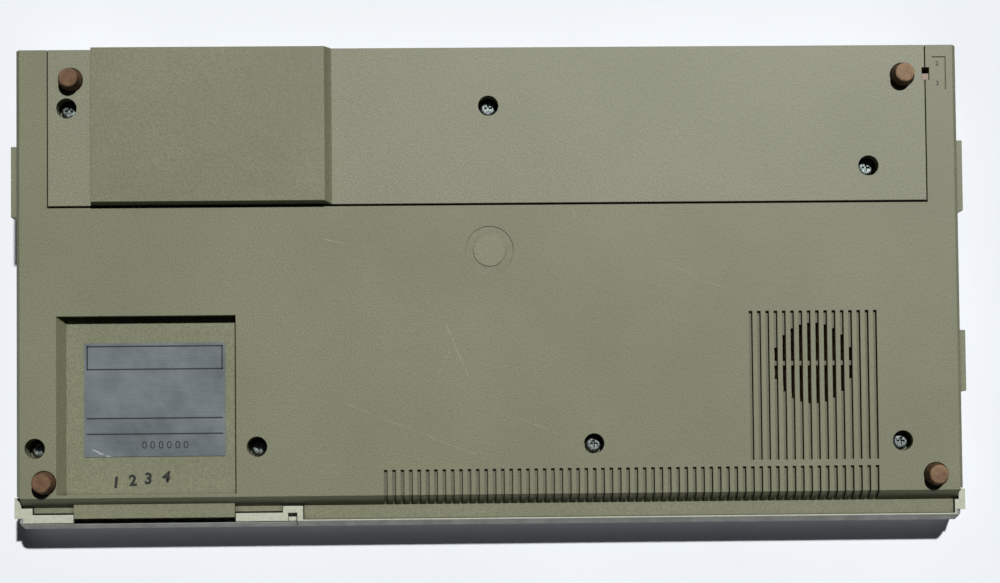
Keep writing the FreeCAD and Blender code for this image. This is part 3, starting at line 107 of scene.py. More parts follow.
class Shader:
    """A node material with a principled shader, and short ways to add nodes to it."""

    def __init__(self, name, **settings):
        self.material = bpy.data.materials.new(name)
        self.material.use_nodes = True
        self.tree = self.material.node_tree
        self.tree.nodes.clear()
        self.output = self.add("ShaderNodeOutputMaterial")
        self.bsdf = self.add("ShaderNodeBsdfPrincipled")
        self.tree.links.new(self.bsdf.outputs[0], self.output.inputs[0])
        self.place = self.add("ShaderNodeTexCoord").outputs["Object"]
        self.geometry = self.add("ShaderNodeNewGeometry")
        for socket, value in settings.items():
            self.set(socket.replace("_", " "), value)

    def add(self, kind, **values):
        node = self.tree.nodes.new(kind)
        for name, value in values.items():
            setattr(node, name, value)
        return node

    def feed(self, socket, value):
        """Links an output to a socket, or sets a constant on it."""
        if isinstance(value, bpy.types.NodeSocket):
            self.tree.links.new(value, socket)
        elif hasattr(value, "__len__") and len(value) == 3 and socket.type == "RGBA":
            socket.default_value = (*value, 1)
        else:
            socket.default_value = value

    def set(self, name, value):
        self.feed(self.bsdf.inputs[name], value)

    def math(self, operation, a, b=0.0, c=0.0):
        node = self.add("ShaderNodeMath", operation=operation)
        for socket, value in zip(node.inputs, (a, b, c)):
            self.feed(socket, value)
        return node.outputs[0]

    def ramp(self, value, low, high, out_low=0.0, out_high=1.0):
        """Takes a value smoothly from one range to another, held at both ends."""
        node = self.add("ShaderNodeMapRange", interpolation_type="SMOOTHSTEP")
        for socket, number in zip(node.inputs, (value, low, high, out_low, out_high)):
            self.feed(socket, number)
        return node.outputs[0]

    def mix(self, share, a, b):
        node = self.add("ShaderNodeMix", data_type="RGBA")
        colour_sockets = [socket for socket in node.inputs if socket.type == "RGBA"]
        self.feed(node.inputs[0], share)
        self.feed(colour_sockets[0], a)
        self.feed(colour_sockets[1], b)
        return [socket for socket in node.outputs if socket.type == "RGBA"][0]

    def mapped(self, stretch, turn=0.0):
        """Object coordinates, turned about Z and stretched."""
        node = self.add("ShaderNodeMapping")
        self.feed(node.inputs["Vector"], self.place)
        node.inputs["Rotation"].default_value = (0, 0, turn)
        node.inputs["Scale"].default_value = stretch
        return node.outputs[0]

    def noise(self, size, detail=2.0, rough=0.5, vector=None):
        """Noise whose features are about that many metres across."""
        node = self.add("ShaderNodeTexNoise")
        self.feed(node.inputs["Vector"], vector or self.place)
        node.inputs["Scale"].default_value = 1 / size
        node.inputs["Detail"].default_value = detail
        node.inputs["Roughness"].default_value = rough
        return node.outputs[0]

    def specks(self, size, low, high):
        """Sparse dots on a grid of cells."""
        node = self.add("ShaderNodeTexVoronoi", feature="F1")
        self.feed(node.inputs["Vector"], self.place)
        node.inputs["Scale"].default_value = 1 / size
        return self.ramp(node.outputs["Distance"], high, low)

    def axis(self, vector, letter):
        node = self.add("ShaderNodeSeparateXYZ")
        self.feed(node.inputs[0], vector)
        return node.outputs[letter]

    def radius(self, x, y):
        """Distance from an upright axis at that place."""
        across = self.math("SUBTRACT", self.axis(self.place, "X"), x)
        along = self.math("SUBTRACT", self.axis(self.place, "Y"), y)
        return self.math("SQRT", self.math("ADD", self.math("MULTIPLY", across, across),
                                           self.math("MULTIPLY", along, along)))

    def bevel(self, radius):
        """The normal with its edges rounded."""
        node = self.add("ShaderNodeBevel", samples=4)
        node.inputs["Radius"].default_value = radius
        return node.outputs[0]

    def edges(self, rounded):
        """One on sharp edges, zero on flat places."""
        node = self.add("ShaderNodeVectorMath", operation="DOT_PRODUCT")
        self.feed(node.inputs[0], rounded)
        self.feed(node.inputs[1], self.geometry.outputs["True Normal"])
        return self.ramp(node.outputs["Value"], 0.995, 0.8)

    def painted_corner_shade(self, distance):
        """One deep in corners and hollows, where shade is painted into the colour; zero on open places."""
        node = self.add("ShaderNodeAmbientOcclusion", samples=4)
        node.inputs["Distance"].default_value = distance
        return self.ramp(node.outputs["AO"], 0.85, 0.35)

    def bump(self, height, depth, strength=1.0, normal=None):
        node = self.add("ShaderNodeBump")
        node.inputs["Strength"].default_value = strength
        node.inputs["Distance"].default_value = depth
        self.feed(node.inputs["Height"], height)
        if normal is not None:
            self.feed(node.inputs["Normal"], normal)
        self.set("Normal", node.outputs[0])

    def hairlines(self, turn, length, width, amount):
        """Faint scratches in one direction."""
        streaks = self.noise(1.0, 1, 0.4, self.mapped((1 / length, 1 / width, 1 / width), turn))
        where = self.ramp(self.noise(28 * MM, 2, 0.5), 1 - amount, 1.02 - amount * 0.8)
        return self.math("MULTIPLY", self.ramp(streaks, 0.70, 0.76), where)


def scratch(shader, start, end, width):
    """One on a thin line between two places on the underside, in millimetres."""
    sx, sy = start[0] * MM, start[1] * MM
    dx, dy = end[0] * MM - sx, end[1] * MM - sy
    length = math.hypot(dx, dy)
    wobble = shader.math("MULTIPLY_ADD", shader.noise(9 * MM, 2), 1.6 * MM, -0.8 * MM)
    x = shader.math("SUBTRACT", shader.axis(shader.place, "X"), sx)
    y = shader.math("SUBTRACT", shader.axis(shader.place, "Y"), sy)
    along_x = shader.math("MULTIPLY", x, dx / length)
    along_y = shader.math("MULTIPLY", y, dy / length)
    along = shader.math("ADD", along_x, along_y)
    across_x = shader.math("MULTIPLY", x, -dy / length)
    across_y = shader.math("MULTIPLY", y, -dx / length)
    across = shader.math("SUBTRACT", across_x, across_y)
    across = shader.math("ABSOLUTE", shader.math("ADD", across, wobble))
    line = shader.ramp(across, width * MM, 0.3 * width * MM)
    ends = shader.math("MULTIPLY", shader.ramp(along, 0, 2 * MM), shader.ramp(along, length, length - 4 * MM))
    broken = shader.ramp(shader.noise(1.6 * MM, 2), 0.42, 0.52)
    return shader.math("MULTIPLY", shader.math("MULTIPLY", line, ends), broken)


def khaki_plastic(name, haze):
    """The lower shell's grained plastic, with worn edges, painted shade in the corners, scratches and a pale
    haze.
    """
    s = Shader(name, Specular_IOR_Level=0.42)
    grain = s.noise(0.55 * MM, 3, 0.6)
    coarse = s.noise(1.6 * MM, 2, 0.5)
    cloud = s.noise(60 * MM, 4, 0.55)
    colour = s.mix(s.ramp(cloud, 0.3, 0.7), (0.200, 0.212, 0.133), (0.232, 0.245, 0.156))
    raised = s.ramp(s.axis(s.place, "Z"), *PANEL_FLAT_Z)
    hazy = s.math("MULTIPLY", raised, s.ramp(s.noise(0.8 * MM, 4, 0.7), 0.3, 0.72, 0.35 * haze, haze))
    colour = s.mix(hazy, colour, (0.42, 0.435, 0.36))
    colour = s.mix(s.ramp(grain, 0.32, 0.66), s.mix(0.65, colour, (0.125, 0.130, 0.078)), colour)
    rounded = s.bevel(0.35 * MM)
    worn = s.math("MULTIPLY", s.edges(rounded), s.ramp(s.noise(5 * MM, 3), 0.3, 0.7, 0.15, 0.75))
    colour = s.mix(worn, colour, (0.31, 0.32, 0.23))
    gate = s.ramp(s.radius(0, GATE_MARK_Y), *GATE_MARK_RADII, 0, 0.3)
    colour = s.mix(s.math("MULTIPLY", gate, s.ramp(grain, 0.2, 0.6, 0.6, 1)), colour, (0.285, 0.262, 0.180))
    # Painted shade: the colour goes dark in corners and hollows, more in some patches.
    painted_shade = s.math("MULTIPLY", s.painted_corner_shade(2.5 * MM), s.ramp(cloud, 0.2, 0.8, 0.5, 0.85))
    colour = s.mix(painted_shade, colour, (0.060, 0.050, 0.030))
    marks = s.hairlines(0.5, 22 * MM, 0.16 * MM, 0.42)
    marks = s.math("MAXIMUM", marks, s.hairlines(-1.1, 15 * MM, 0.14 * MM, 0.38))
    for start, end, width in SCRATCHES:
        marks = s.math("MAXIMUM", marks, scratch(s, start, end, width))
    colour = s.mix(s.math("MULTIPLY", marks, 0.5), colour, (0.37, 0.38, 0.30))
    # Pale specks of dust, in patches.
    dust_and_painted_shade = s.math("MULTIPLY", s.specks(1.5 * MM, 0.04, 0.12), s.ramp(s.noise(18 * MM, 2), 0.5, 0.7, 0.0, 0.6))
    s.set("Base Color", s.mix(dust_and_painted_shade, colour, (0.44, 0.45, 0.40)))
    s.set("Roughness", s.ramp(s.math("ADD", grain, s.math("MULTIPLY", marks, 0.4)), 0.2, 1.1, 0.44, 0.62))
    height = s.math("ADD", grain, s.math("MULTIPLY", coarse, 1.4))
    s.bump(height, 0.045 * MM, 0.55, rounded)
    return s.material


def silver_paint():
    """Silver paint outside, and the bare cream plastic on the faces that look down, with a painted highlight
    on the lip and painted shade in the corners.
    """
    s = Shader("silver_paint", Coat_Weight=0.08, Coat_Roughness=0.35)
    rounded = s.bevel(0.4 * MM)
    down = s.axis(s.geometry.outputs["True Normal"], "Z")
    behind = s.ramp(s.axis(s.place, "Y"), SILVER_FRONT_Y - 0.05 * MM, SILVER_FRONT_Y + 0.05 * MM)
    bare = s.math("MULTIPLY", s.ramp(down, -0.88, -0.95), behind)
    flake = s.noise(0.22 * MM, 2, 0.7)
    cloud = s.noise(45 * MM, 3)
    paint = s.mix(s.ramp(flake, 0.3, 0.7), (0.235, 0.25, 0.245), (0.35, 0.365, 0.355))
    paint = s.mix(s.ramp(cloud, 0.35, 0.7, 0, 0.35), paint, (0.30, 0.30, 0.28))
    chips = s.math("MULTIPLY", s.edges(rounded), s.ramp(s.noise(3 * MM, 3), 0.52, 0.6))
    rubbed = s.hairlines(0.2, 30 * MM, 0.15 * MM, 0.4)
    paint = s.mix(s.math("MULTIPLY", rubbed, 0.35), paint, (0.50, 0.51, 0.50))
    # Painted highlight: the paint turns paler, in patches, on the faces that look down.
    painted_lip_highlight = s.math("MULTIPLY", s.ramp(down, -0.5, -0.6), s.ramp(s.noise(6 * MM, 3), 0.3, 0.7, 0.55, 1.0))
    paint = s.mix(painted_lip_highlight, paint, (0.56, 0.59, 0.57))
    cream = s.mix(s.ramp(s.noise(1.2 * MM, 3), 0.3, 0.7), (0.455, 0.485, 0.39), (0.54, 0.57, 0.465))
    bare = s.math("MAXIMUM", bare, s.math("MULTIPLY", chips, 0.8))
    # Painted shade: the paint goes dark in corners and hollows.
    painted_shade = s.math("MULTIPLY", s.painted_corner_shade(2 * MM), s.ramp(cloud, 0.2, 0.8, 0.15, 0.45))
    s.set("Base Color", s.mix(painted_shade, s.mix(bare, paint, cream), (0.12, 0.11, 0.09)))
    s.set("Metallic", s.ramp(bare, 0, 1, 0.45, 0.0))
    s.set("Roughness", s.ramp(s.noise(14 * MM, 3), 0.3, 0.7, 0.38, 0.5))
    s.bump(s.math("ADD", s.noise(0.7 * MM, 3), s.math("MULTIPLY", flake, 0.3)), 0.02 * MM, 0.5, rounded)
    return s.material


def key_plastic():
    """Light grey key plastic, polished by fingers on the tops, with painted shade in the corners."""
    s = Shader("key_plastic", Specular_IOR_Level=0.5)
    rounded = s.bevel(0.3 * MM)
    up = s.axis(s.geometry.outputs["True Normal"], "Z")
    top = s.ramp(up, 0.9, 0.98)
    cloud = s.noise(7 * MM, 3)
    colour = s.mix(s.ramp(cloud, 0.3, 0.7), (0.53, 0.54, 0.52), (0.60, 0.60, 0.565))
    # Painted shade: the keys go dark in corners and gaps.
    painted_key_shade = s.math("MULTIPLY", s.painted_corner_shade(3 * MM), 0.45)
    colour = s.mix(painted_key_shade, colour, (0.22, 0.20, 0.16))
    s.set("Base Color", s.mix(s.math("MULTIPLY", s.edges(rounded), 0.35), colour, (0.70, 0.70, 0.67)))
    finger = s.math("MULTIPLY", top, s.ramp(cloud, 0.35, 0.65))
    s.set("Roughness", s.ramp(finger, 0, 1, 0.46, 0.30))
    s.bump(s.noise(0.45 * MM, 3, 0.6), 0.018 * MM, 0.5, rounded)
    return s.material


def moulded(name, dark, light, rough, grain=0.5, edge=0.3, **settings):
    """A plain moulded plastic or rubber with grain, cloudy colour, lighter worn edges and painted shade in
    its corners.
    """
    s = Shader(name, **settings)
    rounded = s.bevel(0.3 * MM)
    cloud = s.noise(12 * MM, 4, 0.6)
    colour = s.mix(s.ramp(cloud, 0.3, 0.7), dark, light)
    worn = tuple(min(1, 2 * c + 0.06) for c in light)
    colour = s.mix(s.math("MULTIPLY", s.edges(rounded), edge), colour, worn)
    # Painted shade: the colour goes dark in corners and hollows.
    dust_and_painted_shade = s.math("MULTIPLY", s.painted_corner_shade(2 * MM), 0.3)
    s.set("Base Color", s.mix(dust_and_painted_shade, colour, tuple(c * 0.4 for c in dark)))
    fine = s.noise(grain * MM, 3, 0.6)
    s.set("Roughness", s.ramp(fine, 0.2, 0.8, rough - 0.07, rough + 0.07))
    s.bump(fine, 0.03 * MM, 0.5, rounded)
    return s.material


def foot_rubber():
    """Brown rubber, paler and scuffed on the sole."""
    s = Shader("foot_rubber", Specular_IOR_Level=0.3)
    rounded = s.bevel(0.4 * MM)
    cloud = s.noise(2.6 * MM, 4, 0.6)
    height = s.axis(s.place, "Z")
    sole = s.ramp(height, 0.6 * MM, 0.15 * MM)
    colour = s.mix(s.ramp(cloud, 0.3, 0.7), (0.085, 0.042, 0.020), (0.15, 0.080, 0.042))
    worn = s.math("MULTIPLY", sole, s.ramp(s.noise(55 * MM, 1), 0.4, 0.6, 0.2, 0.95))
    colour = s.mix(s.math("MULTIPLY", worn, s.ramp(cloud, 0.25, 0.7, 0.5, 1.0)), colour, (0.33, 0.225, 0.135))
    # Painted shade: the rubber goes dark in corners and hollows.
    s.set("Base Color", s.mix(s.math("MULTIPLY", s.painted_corner_shade(2 * MM), 0.5), colour, (0.05, 0.025, 0.015)))
    s.set("Roughness", s.ramp(cloud, 0.3, 0.7, 0.62, 0.82))
    s.bump(s.noise(0.35 * MM, 3, 0.6), 0.05 * MM, 0.6, rounded)
    return s.material


def metal(name, dark, light, rough, brushed=None, spots=0.0):
    """Bare or plated metal, brushed along one axis or mottled."""
    s = Shader(name, Metallic=1.0)
    rounded = s.bevel(0.25 * MM)
    if brushed is None:
        grain = s.noise(0.8 * MM, 4, 0.6)
    else:
        grain = s.noise(1.0, 2, 0.6, s.mapped(brushed))
    cloud = s.noise(6 * MM, 4, 0.6)
    colour = s.mix(s.ramp(grain, 0.38, 0.62), dark, light)
    colour = s.mix(s.ramp(cloud, 0.62, 0.75, 0, spots), colour, tuple(c * 0.45 for c in dark))
    s.set("Base Color", colour)
    uneven = s.math("ADD", grain, s.math("MULTIPLY", cloud, 0.5))
    s.set("Roughness", s.ramp(uneven, 0.4, 1.1, rough - 0.08, rough + 0.14))
    s.bump(grain, 0.012 * MM, 0.5, rounded)
    return s.material


def label_foil():
    """Blue-grey foil with a brushed sheen, smudges and a crease."""
    s = Shader("label_foil", Metallic=0.35)
    brushed = s.noise(1.0, 2, 0.6, s.mapped((1 / (14 * MM), 1 / (0.25 * MM), 1 / MM)))
    cloud = s.noise(30 * MM, 5, 0.6)
    colour = s.mix(s.ramp(cloud, 0.3, 0.7), (0.115, 0.143, 0.158), (0.168, 0.198, 0.220))
    colour = s.mix(s.ramp(brushed, 0.35, 0.65, 0, 0.15), colour, (0.25, 0.28, 0.31))
    crease = scratch(s, *FOIL_CREASE)
    colour = s.mix(s.math("MULTIPLY", crease, 0.6), colour, (0.55, 0.58, 0.6))
    s.set("Base Color", colour)
    s.set("Roughness", s.ramp(cloud, 0.3, 0.7, 0.36, 0.52))
    s.bump(s.math("ADD", s.math("MULTIPLY", s.noise(5 * MM, 3), 4.0), brushed), 0.03 * MM, 0.5)
    return s.material


def printed_ink(name, colour, fade=0.35):
    """Ink that has worn thin in places."""
    s = Shader(name)
    thin = s.ramp(s.noise(0.7 * MM, 3, 0.6), 0.5, 0.75, 0, fade)
    s.set("Base Color", s.mix(thin, colour, tuple(c * 0.5 + 0.04 for c in colour)))
    s.set("Roughness", s.ramp(s.noise(0.5 * MM, 2), 0.3, 0.7, 0.45, 0.65))
    s.bump(s.noise(0.3 * MM, 2), 0.01 * MM, 0.4)
    return s.material


def board_finish():
    """Green lacquered board, black chips on it and bright metal above them."""
    s = Shader("board_finish")
    height = s.axis(s.place, "Z")
    traces = s.noise(1.0, 2, 0.5, s.mapped((1 / (9 * MM), 1 / (1.1 * MM), 1)))
    green = s.mix(s.ramp(traces, 0.48, 0.52), (0.018, 0.12, 0.045), (0.04, 0.19, 0.075))
    on_board = s.ramp(height, *BOARD_TOP_Z)
    colour = s.mix(on_board, green, (0.022, 0.022, 0.024))
    tall = s.ramp(height, *CHIP_TOP_Z)
    s.set("Base Color", s.mix(tall, colour, (0.45, 0.46, 0.46)))
    s.set("Roughness", s.ramp(s.noise(3 * MM, 3), 0.3, 0.7, 0.35, 0.55))
    s.bump(s.noise(0.6 * MM, 3), 0.02 * MM, 0.5, s.bevel(0.2 * MM))
    return s.material


def port_finish():
    """Black port bodies with a bright shell and pins outside them."""
    s = Shader("port_finish")
    outward = s.math("ABSOLUTE", s.axis(s.place, "X"))
    plated = s.ramp(outward, *PORT_FACE_X)
    fine = s.noise(0.5 * MM, 3)
    black = s.mix(fine, (0.012, 0.012, 0.013), (0.03, 0.03, 0.032))
    s.set("Base Color", s.mix(plated, black, (0.62, 0.60, 0.52)))
    s.set("Metallic", plated)
    s.set("Roughness", s.ramp(fine, 0.2, 0.8, 0.3, 0.45))
    s.bump(fine, 0.015 * MM, 0.4, s.bevel(0.2 * MM))
    return s.material


def speaker_finish():
    """Pressed paper cone with rings, dusty, in a dark frame."""
    s = Shader("speaker_finish", Specular_IOR_Level=0.2)
    low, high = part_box("speaker")
    middle = (low + high) / 2
    radius = s.radius(middle.x, middle.y)
    rings = s.math("SINE", s.math("MULTIPLY", radius, 2 * math.pi / (1.5 * MM)))
    cloud = s.noise(3 * MM, 4, 0.6)
    paper = s.mix(s.ramp(cloud, 0.3, 0.7), (0.18, 0.115, 0.07), (0.40, 0.27, 0.17))
    cap = s.ramp(radius, 5.2 * MM, 4.8 * MM)
    paper = s.mix(s.math("MULTIPLY", cap, 0.5), paper, (0.50, 0.38, 0.27))
    frame_share = s.ramp(radius, 15.4 * MM, 15.7 * MM)
    s.set("Base Color", s.mix(frame_share, paper, (0.02, 0.02, 0.02)))
    s.set("Roughness", s.ramp(cloud, 0.3, 0.7, 0.7, 0.9))
    s.bump(s.math("ADD", rings, cloud), 0.08 * MM, 0.6)
    return s.material


def stage_paper(name, colour, glow=0.0):
    """A plain sheet that shows only from its front, and stays pale far from the lamps."""
    s = Shader(name)
    s.set("Base Color", s.mix(s.ramp(s.noise(0.12, 3), 0.3, 0.7), colour, tuple(c * 0.97 for c in colour)))
    s.set("Roughness", 0.9)
    if glow:
        s.set("Emission Color", colour)
        s.set("Emission Strength", s.ramp(s.radius(0, 0), 0.5, 2.6, 0, glow))
        s.material.cycles.emission_sampling = "NONE"
    clear = s.add("ShaderNodeBsdfTransparent")
    either = s.add("ShaderNodeMixShader")
    s.feed(either.inputs[0], s.geometry.outputs["Backfacing"])
    s.feed(either.inputs[1], s.bsdf.outputs[0])
    s.feed(either.inputs[2], clear.outputs[0])
    s.feed(s.output.inputs[0], either.outputs[0])
    return s.material


KHAKI = khaki_plastic("khaki_plastic", 0.05)
PANEL = khaki_plastic("panel_plastic", 0.38)
SILVER = silver_paint()
KEY = key_plastic()
BLACK = moulded("black_plastic", (0.012, 0.012, 0.013), (0.026, 0.026, 0.028), 0.38)
BEZEL = moulded("bezel_plastic", (0.016, 0.016, 0.018), (0.03, 0.03, 0.033), 0.5, 0.4, 0.2)
ZINC = metal("zinc_plate", (0.055, 0.068, 0.066), (0.27, 0.315, 0.31), 0.44, None, 0.85)
TIN = metal("tinned_steel", (0.40, 0.40, 0.38), (0.55, 0.55, 0.52), 0.42, None, 0.35)
NICKEL = metal("nickel_plate", (0.55, 0.53, 0.48), (0.70, 0.68, 0.62), 0.25)
SHEET_BRUSHING = (1 / (20 * MM), 1 / (0.2 * MM), 1 / MM)
SHEET = metal("sheet_aluminium", (0.50, 0.51, 0.52), (0.62, 0.63, 0.64), 0.4, SHEET_BRUSHING)
INK = printed_ink("black_ink", (0.007, 0.007, 0.008), 0.25)
LEGEND = printed_ink("legend_ink", (0.02, 0.02, 0.025), 0.2)

FINISHES = {
    "top_case": SILVER,
    "cartridge_door": SILVER,
    "bottom_case": KHAKI,
    "rear_panel": PANEL,
    "cartridge_connector": BLACK,
    "key_bezel": BEZEL,
    "key_membrane": moulded("membrane_rubber", (0.36, 0.36, 0.34), (0.46, 0.46, 0.43), 0.6),
    "keyboard_backplate": SHEET,
    "main_board": board_finish(),
    "rf_modulator": TIN,
    "channel_switch": moulded("slider_plastic", (0.22, 0.15, 0.11), (0.32, 0.23, 0.18), 0.45),
    "power_switch": BLACK,
    "joystick_ports": port_finish(),
    "rear_jacks": BLACK,
    "speaker": speaker_finish(),
    "label_plate": label_foil(),
    "feet": foot_rubber(),
    "case_screws": ZINC,
}
for name, node in NODES.items():
    node.data.materials.clear()
    node.data.materials.append(FINISHES.get(name, KEY))


# Pieces

def new_piece(name, mesh, material, body):
    """Puts a mesh in the scene as a piece that rides on a body."""
    mesh.name = name
    mesh.materials.append(material)
    piece = bpy.data.objects.new(name, mesh)
    bpy.context.scene.collection.objects.link(piece)
    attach(piece, body)


def text_mesh(text, size, thickness):
    """Flat text as a mesh around the origin."""
    curve = bpy.data.curves.new("text", "FONT")
    curve.body = text
    curve.size = size
    curve.offset = thickness
    curve.align_x = "CENTER"
    curve.align_y = "CENTER"
    holder = bpy.data.objects.new("text", curve)
    bpy.context.scene.collection.objects.link(holder)
    mesh = bpy.data.meshes.new_from_object(holder.evaluated_get(bpy.context.evaluated_depsgraph_get()))
    bpy.data.objects.remove(holder)
    bpy.data.curves.remove(curve)
    return mesh


def refine(mesh, longest):
    """Triangulates a flat mesh and splits its long edges."""
    work = bmesh.new()
    work.from_mesh(mesh)
    bmesh.ops.triangulate(work, faces=work.faces)
    for step in range(3):
        long_edges = [edge for edge in work.edges if edge.calc_length() > longest]
        if not long_edges:
            break
        bmesh.ops.subdivide_edges(work, edges=long_edges, cuts=1)
        bmesh.ops.triangulate(work, faces=[face for face in work.faces if len(face.verts) > 3])
    work.to_mesh(mesh)
    work.free()


def joined(meshes):
    """One mesh out of several."""
    work = bmesh.new()
    for mesh in meshes:
        work.from_mesh(mesh)
        bpy.data.meshes.remove(mesh)
    mesh = bpy.data.meshes.new("joined")
    work.to_mesh(mesh)
    work.free()
    return mesh


def sheet_strip(x0, y0, x1, y1, z, thick):
    """A thin bar that lies under a face that looks down."""
    work = bmesh.new()
    bmesh.ops.create_cube(work, size=1.0)
    for vert in work.verts:
        vert.co = Vector((
            x0 if vert.co.x < 0 else x1,
            y0 if vert.co.y < 0 else y1,
            z - thick if vert.co.z < 0 else z,
        ))
    mesh = bpy.data.meshes.new("strip")
    work.to_mesh(mesh)
    work.free()
    return mesh


def underside_text(text, size, x, y, z, turn=0.0, thickness=0.0):
    """Text that reads from below, with its top towards the rear."""
    mesh = text_mesh(text, size, thickness)
    place = Matrix.Translation((x, y, z)) @ Matrix.Rotation(turn, 4, "Z") @ Matrix.Rotation(math.pi, 4, "Y")
    mesh.transform(place)
    return mesh


def label_print():
    """The ruled frame and lines printed on the foil, with a plain number."""
    low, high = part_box("label_plate")
    z = low.z
    thick = 0.03 * MM
    line = 0.55 * MM
    x0 = low.x + 0.9 * MM
    x1 = high.x - 0.9 * MM
    top = high.y - 1.0 * MM
    bottom = top - 9.6 * MM
    strips = [
        (x0, top - line, x1, top),
        (x0, bottom, x1, bottom + line),
        (x0, bottom, x0 + line, top),
        (x1 - line, bottom, x1, top),
    ]
    for drop in (29.4, 35.6):
        strips.append((x0, high.y - drop * MM - line, x1, high.y - drop * MM))
    meshes = [sheet_strip(*strip, z, thick) for strip in strips]
    middle = (x0 + x1) / 2
    meshes.append(underside_text("0 0 0 0 0 0", 4.2 * MM, middle - 4 * MM, low.y + 4.4 * MM, z - thick))
    new_piece("label_print", joined(meshes), INK, "base")


def stamped_digits():
    """Four ink digits stamped below the label."""
    z = LABEL_FLOOR_Z - 0.03 * MM
    meshes = []
    for digit, x, y, turn in STAMPED_DIGITS:
        meshes.append(underside_text(digit, 6.0 * MM, x * MM, y * MM, z, turn, 0.24 * MM))
    new_piece("stamped_digits", joined(meshes), INK, "base")


def channel_digits():
    """The two channel numbers beside the slider."""
    z = UNDERSIDE - 0.02 * MM
    meshes = []
    for digit, y in (("2", 86.75), ("3", 78.75)):
        meshes.append(underside_text(digit, 2.6 * MM, CHANNEL_MARK_X, y * MM, z, 0, 0.06 * MM))
    new_piece("channel_digits", joined(meshes), INK, "base")


def surface_of(node):
    """A search tree over a node's faces."""
    mesh = node.data
    return BVHTree.FromPolygons([v.co for v in mesh.vertices], [tuple(p.vertices) for p in mesh.polygons])


def on_key(name, entries):
    """Text laid on a key's dished top: entries of text, size, place across, place up, letter thickness."""
    node = NODES[name]
    low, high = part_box(name)
    tree = surface_of(node)
    across = Vector((1, 0, 0))
    along = DECK_UP.cross(across)
    centre = Vector(((low.x + high.x) / 2, (low.y + high.y) / 2, high.z))
    meshes = []
    for text, size, right, up, thickness in entries:
        mesh = text_mesh(text, size * MM, thickness * MM)
        refine(mesh, 0.9 * MM)
        for vert in mesh.vertices:
            flat = across * (vert.co.x + right * MM) + along * (vert.co.y + up * MM)
            start = centre + flat + DECK_UP * 10 * MM
            hit = tree.ray_cast(start, -DECK_UP)[0]
            vert.co = (hit or start) + DECK_UP * 0.03 * MM
        meshes.append(mesh)
    return joined(meshes)


LEGENDS = {
    "key_shift_left": "SHIFT",
    "key_shift_right": "SHIFT",
    "key_enter": "ENTER",
    "key_space": "SPACE",
    "key_break": "BREAK",
    "key_symbol": "SYM",
}
SECOND = dict(zip("1234567890", "!@#$%&'()_"))


def key_legends():
    for name in KEYS:
        label = LEGENDS.get(name)
        body = NODES[name]["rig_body"]
        if label:
            entries = [(label, 2.9, 0, 1.2, 0.04)]
        else:
            character = name[-1].upper()
            entries = [(character, 5.2, -1.9, 0.9, 0.10)]
            if character in SECOND:
                entries.append((SECOND[character], 2.9, 3.0, 2.6, 0.03))
        new_piece("legend_" + name[4:], on_key(name, entries), LEGEND, body)


def door_badge():
    """A bare brushed strip in the recess on the door."""
    low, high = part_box("cartridge_door")
    middle = (low.x + high.x) / 2
    start = 16.2 * MM
    length = 8.6 * MM
    half_width = 29.8 * MM
    front = Vector((0, DECK_FRONT_Y, DECK_FRONT_Z))
    along = Vector((0, math.cos(DECK_ANGLE), math.sin(DECK_ANGLE)))
    work = bmesh.new()
    bmesh.ops.create_cube(work, size=1.0)
    for vert in work.verts:
        across = math.copysign(half_width, vert.co.x) + middle
        run = start + (length if vert.co.y > 0 else 0)
        rise = -0.39 * MM if vert.co.z < 0 else -0.05 * MM
        vert.co = front + along * run + DECK_UP * rise + Vector((across, 0, 0))
    bmesh.ops.bevel(work, geom=[e for e in work.edges], offset=0.12 * MM, segments=2, affect="EDGES")
    mesh = bpy.data.meshes.new("badge")
    work.to_mesh(mesh)
    work.free()
    new_piece("door_badge", mesh, SHEET, "door")


def jack_ring(name, x, sink, inner, outer):
    """A short nickel tube along Y with a rounded end, just below the face of a jack."""
    y0 = REAR - 1.2 * MM
    y1 = REAR - sink
    z = JACK_Z
    edge = 0.1 * MM
    profile = [(inner, y0), (inner, y1 - edge), (inner + edge, y1), (outer - edge, y1), (outer, y1 - edge),
               (outer, y0)]
    steps = 48
    verts = []
    faces = []
    count = len(profile)
    for step in range(steps):
        angle = 2 * math.pi * step / steps
        for radius, y in profile:
            verts.append((x + radius * math.cos(angle), y, z + radius * math.sin(angle)))
    for step in range(steps):
        for number in range(count):
            a = step * count + number
            b = step * count + (number + 1) % count
            c = (step + 1) % steps * count + (number + 1) % count
            d = (step + 1) % steps * count + number
            faces.append((a, b, c, d))
    mesh = bpy.data.meshes.new(name)
    mesh.from_pydata(verts, [], faces)
    work = bmesh.new()
    work.from_mesh(mesh)
    bmesh.ops.recalc_face_normals(work, faces=work.faces)
    work.to_mesh(mesh)
    work.free()
    for face in mesh.polygons:
        face.use_smooth = True
    new_piece(name, mesh, NICKEL, "base")


def phono_jacks():
    """The plated rim and the centre tube of the two phono jacks."""
    for number, x in enumerate(PHONO_JACKS_X, 1):
        jack_ring(f"phono_ring_{number}", x, 0.05 * MM, 3.62 * MM, 4.18 * MM)
        jack_ring(f"phono_core_{number}", x, 0.02 * MM, 1.62 * MM, 2.0 * MM)


label_print()
stamped_digits()
channel_digits()
key_legends()
door_badge()
phono_jacks()


# Stage, camera and light

def stage_sheet(name, points, faces, material):
    """A sheet that only the camera sees, so it takes no light from the object."""
    mesh = bpy.data.meshes.new(name)
    mesh.from_pydata(points, [], faces)
    mesh.materials.append(material)
    mesh.shade_smooth()
    sheet = bpy.data.objects.new(name, mesh)
    bpy.context.scene.collection.objects.link(sheet)
    for ray in ("visible_diffuse", "visible_glossy", "visible_transmission", "visible_shadow"):
        setattr(sheet, ray, False)


def lying_height(y):
    """Height of the table that the keys lie on, when the underside is turned up to the camera."""
    key_top_y, key_top_z = 5.7 * MM, 40.2 * MM
    return key_top_z + (y - key_top_y) * math.tan(DECK_ANGLE)


